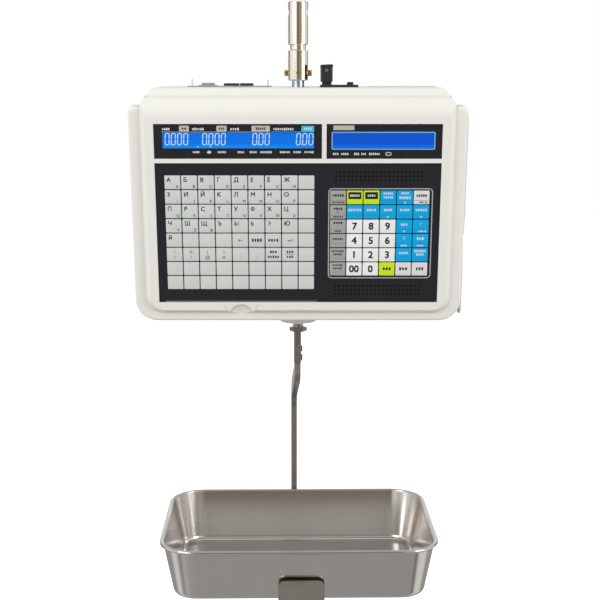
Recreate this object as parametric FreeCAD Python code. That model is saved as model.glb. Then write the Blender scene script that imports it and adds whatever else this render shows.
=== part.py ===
"""Hanging label printing scale.

A printing head hangs from a vertical tube; a swivelling carrier under the head
holds a removable tray.  All sizes are in millimetres.

Frame: the origin is the centre of the cross-hole in the hanger tube, +X runs
along that hole to the operator's right, +Y runs away from the operator, +Z up.
"""
import FreeCAD, Part
import math
import os

Vector = FreeCAD.Vector

# ---------------------------------------------------------------- head casing
WALL = 3.0
HEAD_BOTTOM = -399.0
HEAD_HALF_WIDTH = 212.0
EAR_TOP = -121.0
EAR_TOP_RADIUS = 8.0
BOTTOM_RADIUS = 29.0
EAR_REAR = 62.0
HUMP_HALF_WIDTH = 192.5
HUMP_CHAMFER = 11.0
HUMP_REAR = 85.0
HUMP_REAR_RADIUS = 25.0
HUMP_FOOT = -107.0
HUMP_TOP_FRONT = -97.2
HUMP_TOP_REAR = -94.3
HUMP_FRONT_Y = -71.6
HUMP_FLAT_Y = 40.0
CASE_SCREW_PLACES = [(x, z) for x in (-170, 170) for z in (-140, -380)]

# ------------------------------------------------- front panel (tilted frame)
PANEL_TILT = 9.0
PANEL_TOP = Vector(0, -100, -141)
FRONT_DEPTH = 24.0
BEZEL_HALF_WIDTH = 191.0
BEVEL = 6.0
BEZEL_TOP = 31.3
BEZEL_TOP_ARC = 24.0
BEZEL_BOTTOM = -243.9
BEZEL_TOP_RADIUS = 12.0
BEZEL_BOTTOM_RADIUS = 24.0
FLANGE_TOP = 20.2
FLANGE_BOTTOM = -261.2
FLANGE_ROUND = 4.0
PANEL_HALF_WIDTH = 180.0
DISPLAY_BOTTOM = -44.0
DISPLAY_RIB = (29.9, 35.6)
KEYBOARD_TOP = -49.5
KEYBOARD_BOTTOM = -233.0
PANEL_RECESS = 1.2
WINDOW_THICKNESS = 2.0
OVERLAY_THICKNESS = 0.5
FIT_GAP = 0.2

# ------------------------------------------------------------ keys and boards
KEY_PITCH = (21.1, 18.9)
KEY_GAP = 1.3
KEY_RADIUS = 0.8
KEY_HEIGHT = 0.4
SPEED_KEYS = (9, 8)
SPEED_ORIGIN = (-168.1, -65.4)
NUMERIC_KEYS = (6, 6)
NUMERIC_ORIGIN = (40.8, -84.9)
CARD_X = (-171.5, 24.4)
CARD_TOP = -62.0
CARD_BOTTOM = -234.5
CARD_Z = (-2.5, -2.0)
CARD_SLOT_Z = (-3.0, -1.6)
MEMBRANE_Z = (-3.8, -2.8)
KEY_BOARD_Z = (-5.6, -4.0)
MAIN_BOARD_Z = (-16.0, -14.4)
LCD_Z = (-7.4, -3.4)
NOTCH_X = -73.8
NOTCH_Y = -253.1
NOTCH_Z = 21.9
NOTCH_RADIUS = 28.1
FACET_HALF_WIDTHS = (24.5, 15.5)
FACET_DEPTH = 1.6

# ------------------------------------------------------- hanger and load path
TUBE_RADIUS = 13.3
TUBE_TOP = 14.3
TUBE_BOTTOM = -87.3
CROSS_HOLE_RADIUS = 6.0
GROOVE_Z = (-47.3, -42.0)
GROOVE_RADIUS = 10.6
STUD_RADIUS = 8.2
STUD_TOP = -62.0
SCREW_Z = -77.4
CHASSIS_TOP = -102.0
CHASSIS_THICKNESS = 3.0
CELL_TOP = -150.0
CELL_SIZE = (50.0, 22.0, 64.0)
SPINDLE_RADIUS = 6.75
SPINDLE_END = -415.5
NUT_BOTTOM = -420.3
FORK_BOTTOM = -464.0
FORK_X = (-5.75, 3.75)
TENON_X = (-2.9, 0.9)
FORK_SCREW_HEIGHTS = (-445.0, -457.0)
BOSS_RADIUS = 23.3
BOSS_BOTTOM = -406.9

# ------------------------------------------------------------ carrier and tray
CARRIER_YAW = 2.1
TRAY_YAW = 0.9
BAR_X = (-4.9, 2.9)
BAR_WIDTH = 24.0
BAR_BACK_Y = 148.0
BAR_KNEE_Z = -536.0
BAR_FRONT_Y = -60.0
PLATE_TOP = -761.9
PLATE_THICKNESS = 3.0
ARM_SCREW_PLACES = (-30.0, 60.0)
TAB_HALF_WIDTH = 29.75
TAB_OUTER_Y = -127.0
TAB_TOP = -726.3
TRAY_HALF = (179.6, 127.7)
TRAY_DRAFT = 14.0
TRAY_TOP = -686.8
TRAY_BOTTOM = -757.2
TRAY_WALL = 1.2
TRAY_CORNER = 46.0
TRAY_FLOOR_RADIUS = 9.0
BEAD_RADIUS = 2.6

# -------------------------------------------------------------- printer module
PRINTER_PLATE_X = (108.0, 110.0)
ROLL_CENTRE = (0.0, -258.0)
ROLL_RADIUS = 46.0
ROLL_X = (116.0, 174.0)
CORE_RADIUS = 20.0
REWIND_CENTRE = (18.0, -172.0)
PLATEN_CENTRE = (6.0, -345.0)
PLATEN_RADIUS = 8.0
GEAR_MODULE = 0.8
PLATEN_TEETH = 36
PINION_TEETH = 12
GEAR_X = (102.0, 106.5)
PULLEY_X = (95.0, 101.0)
PINION_ANGLE = 220.0
MOTOR_X = (60.0, 93.0)
SHAFT_END_X = 180.0
LEVER_X = (176.0, 181.0)
AXLE_END_X = 187.0
CHUTE_WALL = 3.0
CHUTE_Y = (-14.0, 2.0)
GEAR_PLAY = 0.15
HEAD_PIVOT = (-13.0, -308.0)
RUNNING_CLEARANCE = 0.05
DOOR_X = (212.4, 215.4)
DOOR_HINGE = (213.9, 66.0)
DOOR_GAP = 1.0
LUG_HEIGHTS = (-172.4, -367.6)
LUG_LENGTH = 20.0
BARREL_HEIGHTS = (-152.0, -388.0)
PIN_STARTS = (-192.0, -388.0)
LATCH_Z = (-330.0, -314.0)
LATCH_SLOT_Y = (-22.0, -5.0)
LATCH_TRAVEL = 4.0
DOOR_CORNER = 12.0
BULGE_RADIUS = 38.0
BULGE_HEIGHT = 7.0

# ----------------------------------------------------------------- top fittings
POWER_PLATE_X = (28.9, 78.0)
POWER_PLATE_Y = (-22.0, 14.0)
POWER_PLATE_TOP = -92.6
GLAND_X = (29.3, 45.1)
GLAND_Y = (-14.0, 10.0)
GLAND_Z = (-88.6, -69.6)
GLAND_TOP = -66.3
CORD_HOLE_RADIUS = 3.5
GLAND_SCREW_Z = -74.0
ROCKER_X = (63.9, 72.1)
ROCKER_PIVOT = (-4.0, -97.0)
ROCKER_TILT = 7.0
TRUNNION_RADIUS = 1.5
TRUNNION_LENGTH = 2.0
TRUNNION_END_GAP = 0.3
IO_PANEL_TOP = -93.8

AXIS_X = Vector(1, 0, 0)
AXIS_Y = Vector(0, 1, 0)
AXIS_Z = Vector(0, 0, 1)
FAR = 400.0


# ------------------------------------------------------------------ shape tools
def box(x, y, z):
    """A box from its (low, high) pairs along X, Y and Z."""
    corner = Vector(x[0], y[0], z[0])
    return Part.makeBox(x[1] - x[0], y[1] - y[0], z[1] - z[0], corner)


def cylinder(radius, start, end):
    """A round bar from one point to another."""
    start = Vector(*start)
    run = Vector(*end) - start
    return Part.makeCylinder(radius, run.Length, start, run)


def ring(outer, inner, start, end):
    """A round bar with a round hole along it."""
    return cylinder(outer, start, end).cut(cylinder(inner, start, end))


def along_x(radius, centre, x):
    """A cylinder along X about the point centre = (y, z)."""
    return cylinder(radius, (x[0], *centre), (x[1], *centre))


def join(shapes):
    """One solid from overlapping or touching ones."""
    return shapes[0].fuse(shapes[1:]).removeSplitter()


def rounded_outline(x, y, low_radius, high_radius):
    """A closed outline in XY with its lower and upper corners rounded."""
    edges = []
    corners = [(x[0], y[0], low_radius, 180), (x[1], y[0], low_radius, 270),
               (x[1], y[1], high_radius, 0), (x[0], y[1], high_radius, 90)]
    arcs = []
    for cx, cy, radius, start in corners:
        centre = Vector(cx + math.copysign(radius, (x[0] + x[1]) / 2 - cx),
                        cy + math.copysign(radius, (y[0] + y[1]) / 2 - cy), 0)
        circle = Part.Circle(centre, AXIS_Z, radius)
        arcs.append(Part.Edge(Part.ArcOfCircle(circle, math.radians(start),
                                               math.radians(start + 90))))
    for index, arc in enumerate(arcs):
        following = arcs[(index + 1) % len(arcs)]
        edges.append(arc)
        edges.append(Part.makeLine(arc.Vertexes[-1].Point, following.Vertexes[0].Point))
    return Part.Wire(edges)


def prism(outline, z):
    """An XY outline extruded between two heights."""
    face = Part.Face(outline)
    face.translate(Vector(0, 0, z[0]))
    return face.extrude(Vector(0, 0, z[1] - z[0]))


def upright(shape):
    """Turn a shape drawn in XY to stand in XZ, its height along +Y becoming -Y."""
    turned = shape.copy()
    turned.rotate(Vector(0, 0, 0), AXIS_X, 90)
    return turned


def plate_yz(points, x):
    """A prism along X whose section is the polygon of (y, z) points."""
    corners = [Vector(x[0], *point) for point in points]
    face = Part.Face(Part.makePolygon(corners + corners[:1]))
    return face.extrude(Vector(x[1] - x[0], 0, 0))


def on_panel(shape):
    """Move a shape from the tilted panel frame into the head's frame."""
    placed = shape.copy()
    placed.Placement = FreeCAD.Placement(PANEL_TOP, FreeCAD.Rotation(AXIS_X, 90 + PANEL_TILT))
    return placed


def behind_panel(z, height):
    """World Y of the plane at depth z in the panel frame, at a world height."""
    tilt = math.radians(PANEL_TILT)
    down = (height - PANEL_TOP.z + z * math.sin(tilt)) / math.cos(tilt)
    return PANEL_TOP.y - down * math.sin(tilt) - z * math.cos(tilt)


def turned_with_carrier(shape, yaw=CARRIER_YAW):
    """Turn a hanging piece to the small angle at which it rests about the swivel."""
    turned = shape.copy()
    turned.rotate(Vector(0, 0, 0), AXIS_Z, yaw)
    return turned


def rounded_path(points, radii):
    """A wire through (y, z) points in the plane X = 0 with tangent arcs at the turns."""
    corners = [Vector(0, *point) for point in points]
    edges = []
    start = corners[0]
    for before, corner, after, radius in zip(corners, corners[1:], corners[2:], radii):
        inward = (before - corner).normalize()
        outward = (after - corner).normalize()
        half_turn = inward.getAngle(outward) / 2
        cut = radius / math.tan(half_turn)
        bisector = (inward + outward).normalize()
        middle = corner + bisector * (radius / math.sin(half_turn) - radius)
        edges.append(Part.makeLine(start, corner + inward * cut))
        edges.append(Part.Edge(Part.Arc(corner + inward * cut, middle, corner + outward * cut)))
        start = corner + outward * cut
    edges.append(Part.makeLine(start, corners[-1]))
    return Part.Wire(edges)


def hexagon(across_flats, start, end):
    """A hexagonal bar between two points that lie along one axis."""
    start, end = Vector(*start), Vector(*end)
    radius = across_flats / math.sqrt(3)
    corners = [Vector(radius * math.cos(math.radians(60 * n)),
                      radius * math.sin(math.radians(60 * n)), 0) for n in range(7)]
    bar = Part.Face(Part.makePolygon(corners)).extrude(Vector(0, 0, (end - start).Length))
    bar.Placement = FreeCAD.Placement(start, FreeCAD.Rotation(AXIS_Z, end - start))
    return bar


def gear(teeth, centre, x, bore, first_angle):
    """A spur gear on an X axis with straight-flanked teeth cut thin for backlash."""
    pitch = GEAR_MODULE * teeth / 2
    levels = ((pitch - 1.1 * GEAR_MODULE, 0.30), (pitch, 0.205), (pitch + 0.85 * GEAR_MODULE, 0.09))
    points = []
    for tooth in range(teeth):
        middle = math.radians(first_angle) + tooth * math.tau / teeth
        sides = [(radius, -share) for radius, share in levels]
        sides += [(radius, share) for radius, share in reversed(levels)]
        for radius, share in sides:
            angle = middle + share * math.tau / teeth
            points.append((centre[0] + radius * math.cos(angle),
                           centre[1] + radius * math.sin(angle)))
    return plate_yz(points, x).cut(along_x(bore, centre, x))


def belt_loop(first, first_radius, second, second_radius, x):
    """The solid region inside an open belt that runs round two pulleys."""
    run = Vector(0, second[0] - first[0], second[1] - first[1])
    lean = math.acos((first_radius - second_radius) / run.Length)
    heading = math.atan2(run.z, run.y)
    points = []
    for centre, radius, sides in ((first, first_radius, (1, -1)), (second, second_radius, (-1, 1))):
        for side in sides:
            angle = heading + side * lean
            points.append((centre[0] + radius * math.cos(angle),
                           centre[1] + radius * math.sin(angle)))
    return join([plate_yz(points, x), along_x(first_radius, first, x),
                 along_x(second_radius, second, x)])


# ------------------------------------------------------------------ head casing
def front_case():
    """Front moulding: bevelled bezel, side ears, panel openings and finger notch."""
    lower = rounded_outline((-BEZEL_HALF_WIDTH - BEVEL, BEZEL_HALF_WIDTH + BEVEL),
                            (BEZEL_BOTTOM - BEVEL, BEZEL_TOP),
                            BEZEL_BOTTOM_RADIUS, BEZEL_TOP_RADIUS)
    upper = rounded_outline((-BEZEL_HALF_WIDTH, BEZEL_HALF_WIDTH),
                            (BEZEL_BOTTOM, BEZEL_TOP),
                            BEZEL_BOTTOM_RADIUS - BEVEL, BEZEL_TOP_RADIUS - BEVEL)
    block = prism(lower, (-FRONT_DEPTH, -BEVEL))
    lower.translate(Vector(0, 0, -BEVEL))
    bezel = block.fuse(Part.makeLoft([lower, upper], True, True))
    bezel = bezel.common(bezel_side_profile(0))
    flange = prism(rounded_outline((-HEAD_HALF_WIDTH, HEAD_HALF_WIDTH),
                                   (FLANGE_BOTTOM, FLANGE_TOP), BOTTOM_RADIUS, EAR_TOP_RADIUS),
                   (-FRONT_DEPTH, -BEVEL))
    front_edges = [edge for edge in flange.Edges
                   if abs(edge.BoundBox.ZMin + BEVEL) < 0.01]
    flange = flange.makeFillet(FLANGE_ROUND, front_edges)
    inner_bezel = prism(rounded_outline((1 - BEZEL_HALF_WIDTH, BEZEL_HALF_WIDTH - 1),
                                        (BEZEL_BOTTOM + 1, BEZEL_TOP - WALL),
                                        BEZEL_BOTTOM_RADIUS - BEVEL, BEZEL_TOP_RADIUS - BEVEL),
                        (-FRONT_DEPTH, -WALL)).common(bezel_side_profile(WALL))
    inner_flange = prism(rounded_outline((WALL - HEAD_HALF_WIDTH, HEAD_HALF_WIDTH - WALL),
                                         (FLANGE_BOTTOM + WALL, FLANGE_TOP - WALL),
                                         BOTTOM_RADIUS - WALL, EAR_TOP_RADIUS - WALL),
                         (-FRONT_DEPTH, -BEVEL - WALL))
    notch_centre = Vector(NOTCH_X, NOTCH_Y, NOTCH_Z)
    cavity = inner_bezel.fuse(inner_flange)
    cavity = cavity.cut(Part.makeSphere(NOTCH_RADIUS + WALL, notch_centre))
    case = bezel.fuse(flange).cut(cavity)
    through = (-BEVEL, 1)
    case = case.cut([box((-PANEL_HALF_WIDTH, DISPLAY_RIB[0]), (DISPLAY_BOTTOM, 0), through),
                     box((DISPLAY_RIB[1], PANEL_HALF_WIDTH), (DISPLAY_BOTTOM, 0), through),
                     box((-PANEL_HALF_WIDTH, PANEL_HALF_WIDTH),
                         (KEYBOARD_BOTTOM, KEYBOARD_TOP), through)])
    case = case.cut([notch_facet(), Part.makeSphere(NOTCH_RADIUS, notch_centre),
                     box((CARD_X[0] - 1, CARD_X[1] + 1),
                         (BEZEL_BOTTOM - BEVEL - 1, KEYBOARD_BOTTOM + 0.1), CARD_SLOT_Z)])
    return on_panel(case.removeSplitter())


def bezel_side_profile(inset):
    """Everything under the bezel's face and its rounded top edge, less an inset."""
    radius = BEZEL_TOP_ARC - inset
    top = BEZEL_TOP - inset
    centre = (top - radius, -FRONT_DEPTH)
    low = BEZEL_BOTTOM - BOTTOM_RADIUS
    below = box((-FAR, FAR), (low, centre[0]), (-FRONT_DEPTH, -inset))
    corner = cylinder(radius, (-FAR, *centre), (FAR, *centre))
    keep = box((-FAR, FAR), (centre[0], top), (-FRONT_DEPTH, -inset))
    return below.fuse(corner.common(keep))


def notch_facet():
    """The shallow sloping facet cut into the lip round the finger notch."""
    high, low = KEYBOARD_BOTTOM - 0.5, BEZEL_BOTTOM - BEVEL - 1
    wide, narrow = FACET_HALF_WIDTHS
    outline = [Vector(x, y, 0) for x, y in ((NOTCH_X - wide, high), (NOTCH_X - narrow, low),
                                            (NOTCH_X + narrow, low), (NOTCH_X + wide, high))]
    column = Part.Face(Part.makePolygon(outline + outline[:1]))
    column.translate(Vector(0, 0, -BEVEL))
    column = column.extrude(Vector(0, 0, BEVEL + 1))
    wedge = plate_yz([(high, 0), (high, 1), (low, 1), (low, -FACET_DEPTH)], (-FAR, FAR))
    return column.common(wedge)


def ear_block(inset):
    """The wide block of the rear casing that carries both ears."""
    outline = rounded_outline((inset - HEAD_HALF_WIDTH, HEAD_HALF_WIDTH - inset),
                              (HEAD_BOTTOM + inset, EAR_TOP - inset),
                              BOTTOM_RADIUS - inset, EAR_TOP_RADIUS - inset)
    block = upright(prism(outline, (inset - EAR_REAR, FAR)))
    rear_edges = [edge for edge in block.Edges
                  if abs(edge.BoundBox.YMin - EAR_REAR + inset) < 0.01]
    return block.makeFillet(EAR_TOP_RADIUS - inset, rear_edges) if inset < WALL else block


def hump_block(inset):
    """The narrower, higher and deeper block of the rear casing."""
    half = HUMP_HALF_WIDTH - inset
    top, foot = HUMP_TOP_REAR - inset, HUMP_FOOT - inset
    chamfer = HUMP_CHAMFER
    floor = HEAD_BOTTOM + inset
    corners = [Vector(x, 0, z) for x, z in ((-half, floor), (half, floor), (half, foot),
                                            (half - chamfer, top), (chamfer - half, top),
                                            (-half, foot))]
    section = Part.Face(Part.makePolygon(corners + corners[:1]))
    section.translate(Vector(0, -FAR, 0))
    rear = HUMP_REAR - inset
    block = section.extrude(Vector(0, FAR + rear, 0))
    radius = HUMP_REAR_RADIUS - inset
    profile = [(-FAR, floor), (rear - radius, floor), (rear, floor + radius),
               (rear, top - radius), (rear - radius, top), (HUMP_FLAT_Y, top),
               (HUMP_FRONT_Y, HUMP_TOP_FRONT - inset),
               (HUMP_FRONT_Y - (HUMP_TOP_FRONT - HUMP_FOOT), foot), (-FAR, foot)]
    straight = plate_yz(profile, (-FAR, FAR))
    rounds = [along_x(radius, (rear - radius, height), (-FAR, FAR))
              for height in (floor + radius, top - radius)]
    corners_rounded = upright(prism(rounded_outline((inset - HEAD_HALF_WIDTH, HEAD_HALF_WIDTH - inset),
                                                    (floor, FAR), BOTTOM_RADIUS - inset, 1.0),
                                    (-FAR, FAR)))
    return block.common(straight.fuse(rounds)).common(corners_rounded)


def casing_outside():
    """The outer volume of the rear casing, before its front is cut to the parting plane."""
    return ear_block(0).fuse(hump_block(0))


def in_front_of_parting():
    """Everything in front of the plane where the two case halves meet."""
    return on_panel(box((-FAR, FAR), (-2 * FAR, FAR), (-FRONT_DEPTH, FAR)))


def rear_case():
    """Rear moulding: hollow, with the hatch, vents, hinge lugs and top openings."""
    shell = casing_outside().cut(ear_block(WALL).fuse(hump_block(WALL)))
    shell = shell.cut(in_front_of_parting())
    hatch = box((HEAD_HALF_WIDTH - 12, HEAD_HALF_WIDTH + 8), (-30, 50), (-386, -134))
    hatch_front = plate_yz([(behind_panel(-FRONT_DEPTH - 14, z), z) for z in (-386, -134)]
                           + [(0, -134), (0, -386)],
                           (HEAD_HALF_WIDTH - 12, HEAD_HALF_WIDTH + 8))
    openings = [hatch, hatch_front,
                cylinder(STUD_RADIUS + 0.4, (0, 0, -110), (0, 0, -90)),
                cylinder(BOSS_RADIUS - 4, (0, 0, HEAD_BOTTOM - 1), (0, 0, HEAD_BOTTOM + 5)),
                box(*chute_sleeve(), (HEAD_BOTTOM - 1, HEAD_BOTTOM + 5)),
                box((60, 76), (-14, 6), (-104, -90)),
                box((-140, -50), (2, 18), (-104, -90)),
                box((-100, 100), (HUMP_REAR - 5, HUMP_REAR + 1), (-172, -130))]
    openings += [box((-170 + 12 * n, -167 + 12 * n), (HUMP_REAR - 5, HUMP_REAR + 1), (-360, -290))
                 for n in range(10)]
    openings += [cylinder(2.0, (x, HUMP_REAR - 5, z), (x, HUMP_REAR + 1, z))
                 for x, z in CASE_SCREW_PLACES]
    shell = shell.cut(openings)
    lugs = [hinge_lug(z) for z in LUG_HEIGHTS]
    ridges = [box((92, 121), (-8, 30), (-98, -94.2)), box((124, 178), (-8, 30), (-98, -94.2))]
    shell = shell.fuse(lugs + ridges)
    pins = [cylinder(1.5, (*DOOR_HINGE, z), (*DOOR_HINGE, z + 70)) for z in PIN_STARTS]
    return shell.cut(pins).removeSplitter()


def hinge_lug(low):
    """A fixed hinge knuckle on the casing's rear right edge."""
    x, y = DOOR_HINGE
    z = (low, low + LUG_LENGTH)
    arm = box((x - 9, x - 1.5), (y - 14, y + 1), z)
    return arm.fuse(cylinder(3.4, (x, y, z[0]), (x, y, z[1])))


def case_screws():
    """Four screws through the rear wall, into the casing's bosses."""
    return [pan_screw((x, HUMP_REAR, z), (0, -1, 0), 12.0) for x, z in CASE_SCREW_PLACES]


def pan_screw(seat, direction, length, radius=2.0, head=4.0, thickness=2.4):
    """A pan-head screw: its head sits on seat and its shank runs along direction."""
    seat, direction = Vector(*seat), Vector(*direction)
    body = Part.makeCylinder(radius, length, seat, direction)
    cap = Part.makeCylinder(head, thickness, seat, direction * -1)
    return body.fuse(cap).removeSplitter()


def bottom_boss():
    """Shallow round collar under the head that the spindle leaves through."""
    profile = [Vector(8, 0, HEAD_BOTTOM + 4), Vector(8, 0, BOSS_BOTTOM),
               Vector(BOSS_RADIUS, 0, BOSS_BOTTOM), Vector(BOSS_RADIUS + 6, 0, HEAD_BOTTOM),
               Vector(BOSS_RADIUS - 4, 0, HEAD_BOTTOM), Vector(BOSS_RADIUS - 4, 0, HEAD_BOTTOM + 4)]
    face = Part.Face(Part.makePolygon(profile + profile[:1]))
    return face.revolve(Vector(0, 0, 0), AXIS_Z, 360)


# ------------------------------------------------------- displays and keyboard
def panel_sheet(x, y, z, radius=1.0):
    """A thin flat piece in the panel frame, moved to its place."""
    return on_panel(prism(rounded_outline(x, y, radius, radius), z))


def display_window(x):
    """A clear display window set just below the bezel's face."""
    return panel_sheet((x[0] + FIT_GAP, x[1] - FIT_GAP), (DISPLAY_BOTTOM + FIT_GAP, -FIT_GAP),
                       (-PANEL_RECESS - WINDOW_THICKNESS, -PANEL_RECESS))


def key_overlay():
    """The printed keyboard skin, cut back where the legend card's edge shows."""
    z = (-PANEL_RECESS - OVERLAY_THICKNESS, -PANEL_RECESS)
    half = PANEL_HALF_WIDTH - FIT_GAP
    sheet = prism(rounded_outline((-half, half), (KEYBOARD_BOTTOM + FIT_GAP,
                                                  KEYBOARD_TOP - FIT_GAP), 1.0, 1.0), z)
    card_edge = box(CARD_X, (KEYBOARD_BOTTOM - 1, KEYBOARD_BOTTOM + 1.7), (-BEVEL, 1))
    return on_panel(sheet.cut(card_edge))


def key_pads(origin, count):
    """Raised key pads in rows and columns on the keyboard skin."""
    pads = []
    for row in range(count[1]):
        for column in range(count[0]):
            x = origin[0] + column * KEY_PITCH[0]
            y = origin[1] - row * KEY_PITCH[1]
            pads.append(panel_sheet((x + KEY_GAP / 2, x + KEY_PITCH[0] - KEY_GAP / 2),
                                    (y - KEY_PITCH[1] + KEY_GAP / 2, y - KEY_GAP / 2),
                                    (-PANEL_RECESS, KEY_HEIGHT - PANEL_RECESS), KEY_RADIUS))
    return pads


def board_chips():
    """The larger components on the back of the main board."""
    back = MAIN_BOARD_Z[0]
    places = [((-150, -122), (-110, -82), 3), ((-95, -67), (-112, -84), 3),
              ((-40, -18), (-105, -90), 3), ((0, 14), (-120, -90), 8),
              ((30, 44), (-120, -90), 8), ((-160, -100), (-220, -210), 9),
              ((-80, -40), (-220, -210), 9), ((-20, 20), (-220, -210), 9),
              ((-130, -112), (-170, -152), 2.5), ((-70, -40), (-180, -160), 5)]
    return [on_panel(box(x, y, (back - tall, back))) for x, y, tall in places]


def board_standoffs():
    """Pillars between the keyboard board and the main board."""
    return [on_panel(ring(3.0, 1.5, (x, y, MAIN_BOARD_Z[1]), (x, y, KEY_BOARD_Z[0])))
            for x in (-160, -35, 85) for y in (-70, -215)]


# --------------------------------------------------------- hanger and load path
def hanger_tube():
    """Turned tube with a cross-hole, a gripping groove and four screw holes."""
    bevel = 1.5
    profile = [(STUD_RADIUS, TUBE_BOTTOM), (TUBE_RADIUS - bevel, TUBE_BOTTOM),
               (TUBE_RADIUS, TUBE_BOTTOM + bevel), (TUBE_RADIUS, GROOVE_Z[0] - bevel),
               (GROOVE_RADIUS, GROOVE_Z[0]), (GROOVE_RADIUS, GROOVE_Z[1]),
               (TUBE_RADIUS, GROOVE_Z[1] + bevel), (TUBE_RADIUS, TUBE_TOP - bevel),
               (TUBE_RADIUS - bevel, TUBE_TOP), (STUD_RADIUS, TUBE_TOP)]
    corners = [Vector(r, 0, z) for r, z in profile]
    tube = Part.Face(Part.makePolygon(corners + corners[:1])).revolve(Vector(0, 0, 0), AXIS_Z, 360)
    reach = TUBE_RADIUS + 2
    holes = [cylinder(CROSS_HOLE_RADIUS, (-reach, 0, 0), (reach, 0, 0)),
             cylinder(2.0, (-reach, 0, SCREW_Z), (reach, 0, SCREW_Z)),
             cylinder(2.0, (0, -reach, SCREW_Z), (0, reach, SCREW_Z))]
    return tube.cut(holes)


def tube_screws():
    """Four brass screws that clamp the tube on the stud."""
    screws = []
    for direction, head, flats in ((Vector(1, 0, 0), 4.5, 6.8), (Vector(-1, 0, 0), 4.5, 6.8),
                                   (Vector(0, 1, 0), 1.2, 4.6), (Vector(0, -1, 0), 1.2, 4.6)):
        level = Vector(0, 0, SCREW_Z)
        shank = cylinder(2.0, direction * STUD_RADIUS + level, direction * TUBE_RADIUS + level)
        cap = hexagon(flats, direction * TUBE_RADIUS + level,
                      direction * (TUBE_RADIUS + head) + level)
        screws.append(shank.fuse(cap).removeSplitter())
    return screws


def hanger_stud():
    """Zinc-plated threaded stud from the tube down to the load cell."""
    levels = [(STUD_RADIUS, STUD_TOP, -99.6), (12.0, -99.6, CHASSIS_TOP),
              (STUD_RADIUS, CHASSIS_TOP, CELL_TOP), (6.0, CELL_TOP, CELL_TOP - 12)]
    return join([cylinder(r, (0, 0, high), (0, 0, low)) for r, high, low in levels])


def stud_nuts():
    """The nut under the chassis plate and the jam nut on the load cell."""
    under_plate = CHASSIS_TOP - CHASSIS_THICKNESS
    nuts = []
    for top in (under_plate, CELL_TOP + 8):
        nut = hexagon(24.0, (0, 0, top - 8), (0, 0, top))
        nuts.append(nut.cut(cylinder(STUD_RADIUS, (0, 0, top - 9), (0, 0, top + 1))))
    return nuts


def chassis_frame():
    """Steel frame: top plate on the stud, back plate and foot round the spindle."""
    top = (CHASSIS_TOP - CHASSIS_THICKNESS, CHASSIS_TOP)
    foot = (HEAD_BOTTOM + 4.5, HEAD_BOTTOM + 4.5 + CHASSIS_THICKNESS)
    width = (-27, 27)
    frame = join([box(width, (-30, 38), top), box(width, (35, 38), (foot[0], top[1])),
                  box(width, (-30, 38), foot)])
    return frame.cut([cylinder(STUD_RADIUS, (0, 0, top[0] - 1), (0, 0, top[1] + 1)),
                      cylinder(9.0, (0, 0, foot[0] - 1), (0, 0, foot[1] + 1))])


def load_cell():
    """S-shaped strain-gauge load cell in line with the hanger."""
    width, depth, height = CELL_SIZE
    low = CELL_TOP - height
    block = box((-width / 2, width / 2), (-depth / 2, depth / 2), (low, CELL_TOP))
    upper_slot = box((-width / 2 - 1, width / 2 - 12), (-depth, depth), (CELL_TOP - 18, CELL_TOP - 15))
    lower_slot = box((12 - width / 2, width / 2 + 1), (-depth, depth), (low + 15, low + 18))
    middle = low + height / 2
    window = cylinder(8.0, (0, -depth, middle), (0, depth, middle))
    threads = [cylinder(6.0, (0, 0, CELL_TOP - 12), (0, 0, CELL_TOP + 1)),
               cylinder(6.0, (0, 0, low - 1), (0, 0, low + 12))]
    return block.cut([upper_slot, lower_slot, window] + threads)


def swivel_housing():
    """Cup under the load cell that holds the thrust bearing."""
    low = CELL_TOP - CELL_SIZE[2]
    cup = cylinder(17.0, (0, 0, low), (0, 0, low - 36))
    cup = cup.cut(cylinder(13.2, (0, 0, low - 6), (0, 0, low - 31)))
    cup = cup.cut(cylinder(SPINDLE_RADIUS + RUNNING_CLEARANCE, (0, 0, low - 20), (0, 0, low - 40)))
    return cup.fuse(cylinder(6.0, (0, 0, low), (0, 0, low + 12))).removeSplitter()


def bearing_levels():
    """Lowest and highest Z of the thrust bearing."""
    floor = CELL_TOP - CELL_SIZE[2] - 31
    return floor, floor + 4


def thrust_bearing():
    """Thrust bearing ring between the housing and the spindle's head."""
    floor, top = bearing_levels()
    return ring(13.2, 7.4, (0, 0, floor), (0, 0, top))


def hook_spindle():
    """Spindle that turns in the housing and carries everything below the head."""
    seat = bearing_levels()[1] + RUNNING_CLEARANCE
    spindle = [cylinder(12.4, (0, 0, seat), (0, 0, seat + 6)),
               cylinder(SPINDLE_RADIUS, (0, 0, SPINDLE_END), (0, 0, seat)),
               cylinder(3.0, (0, 0, NUT_BOTTOM - 10), (0, 0, SPINDLE_END))]
    return join(spindle)


# ------------------------------------------------------------ carrier and tray
def hook_nut():
    """Thin faceted lock nut under the spindle."""
    nut = hexagon(20.4, (0, 0, NUT_BOTTOM), (0, 0, SPINDLE_END))
    return nut.cut(cylinder(3.0, (0, 0, NUT_BOTTOM - 1), (0, 0, SPINDLE_END + 1)))


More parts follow.
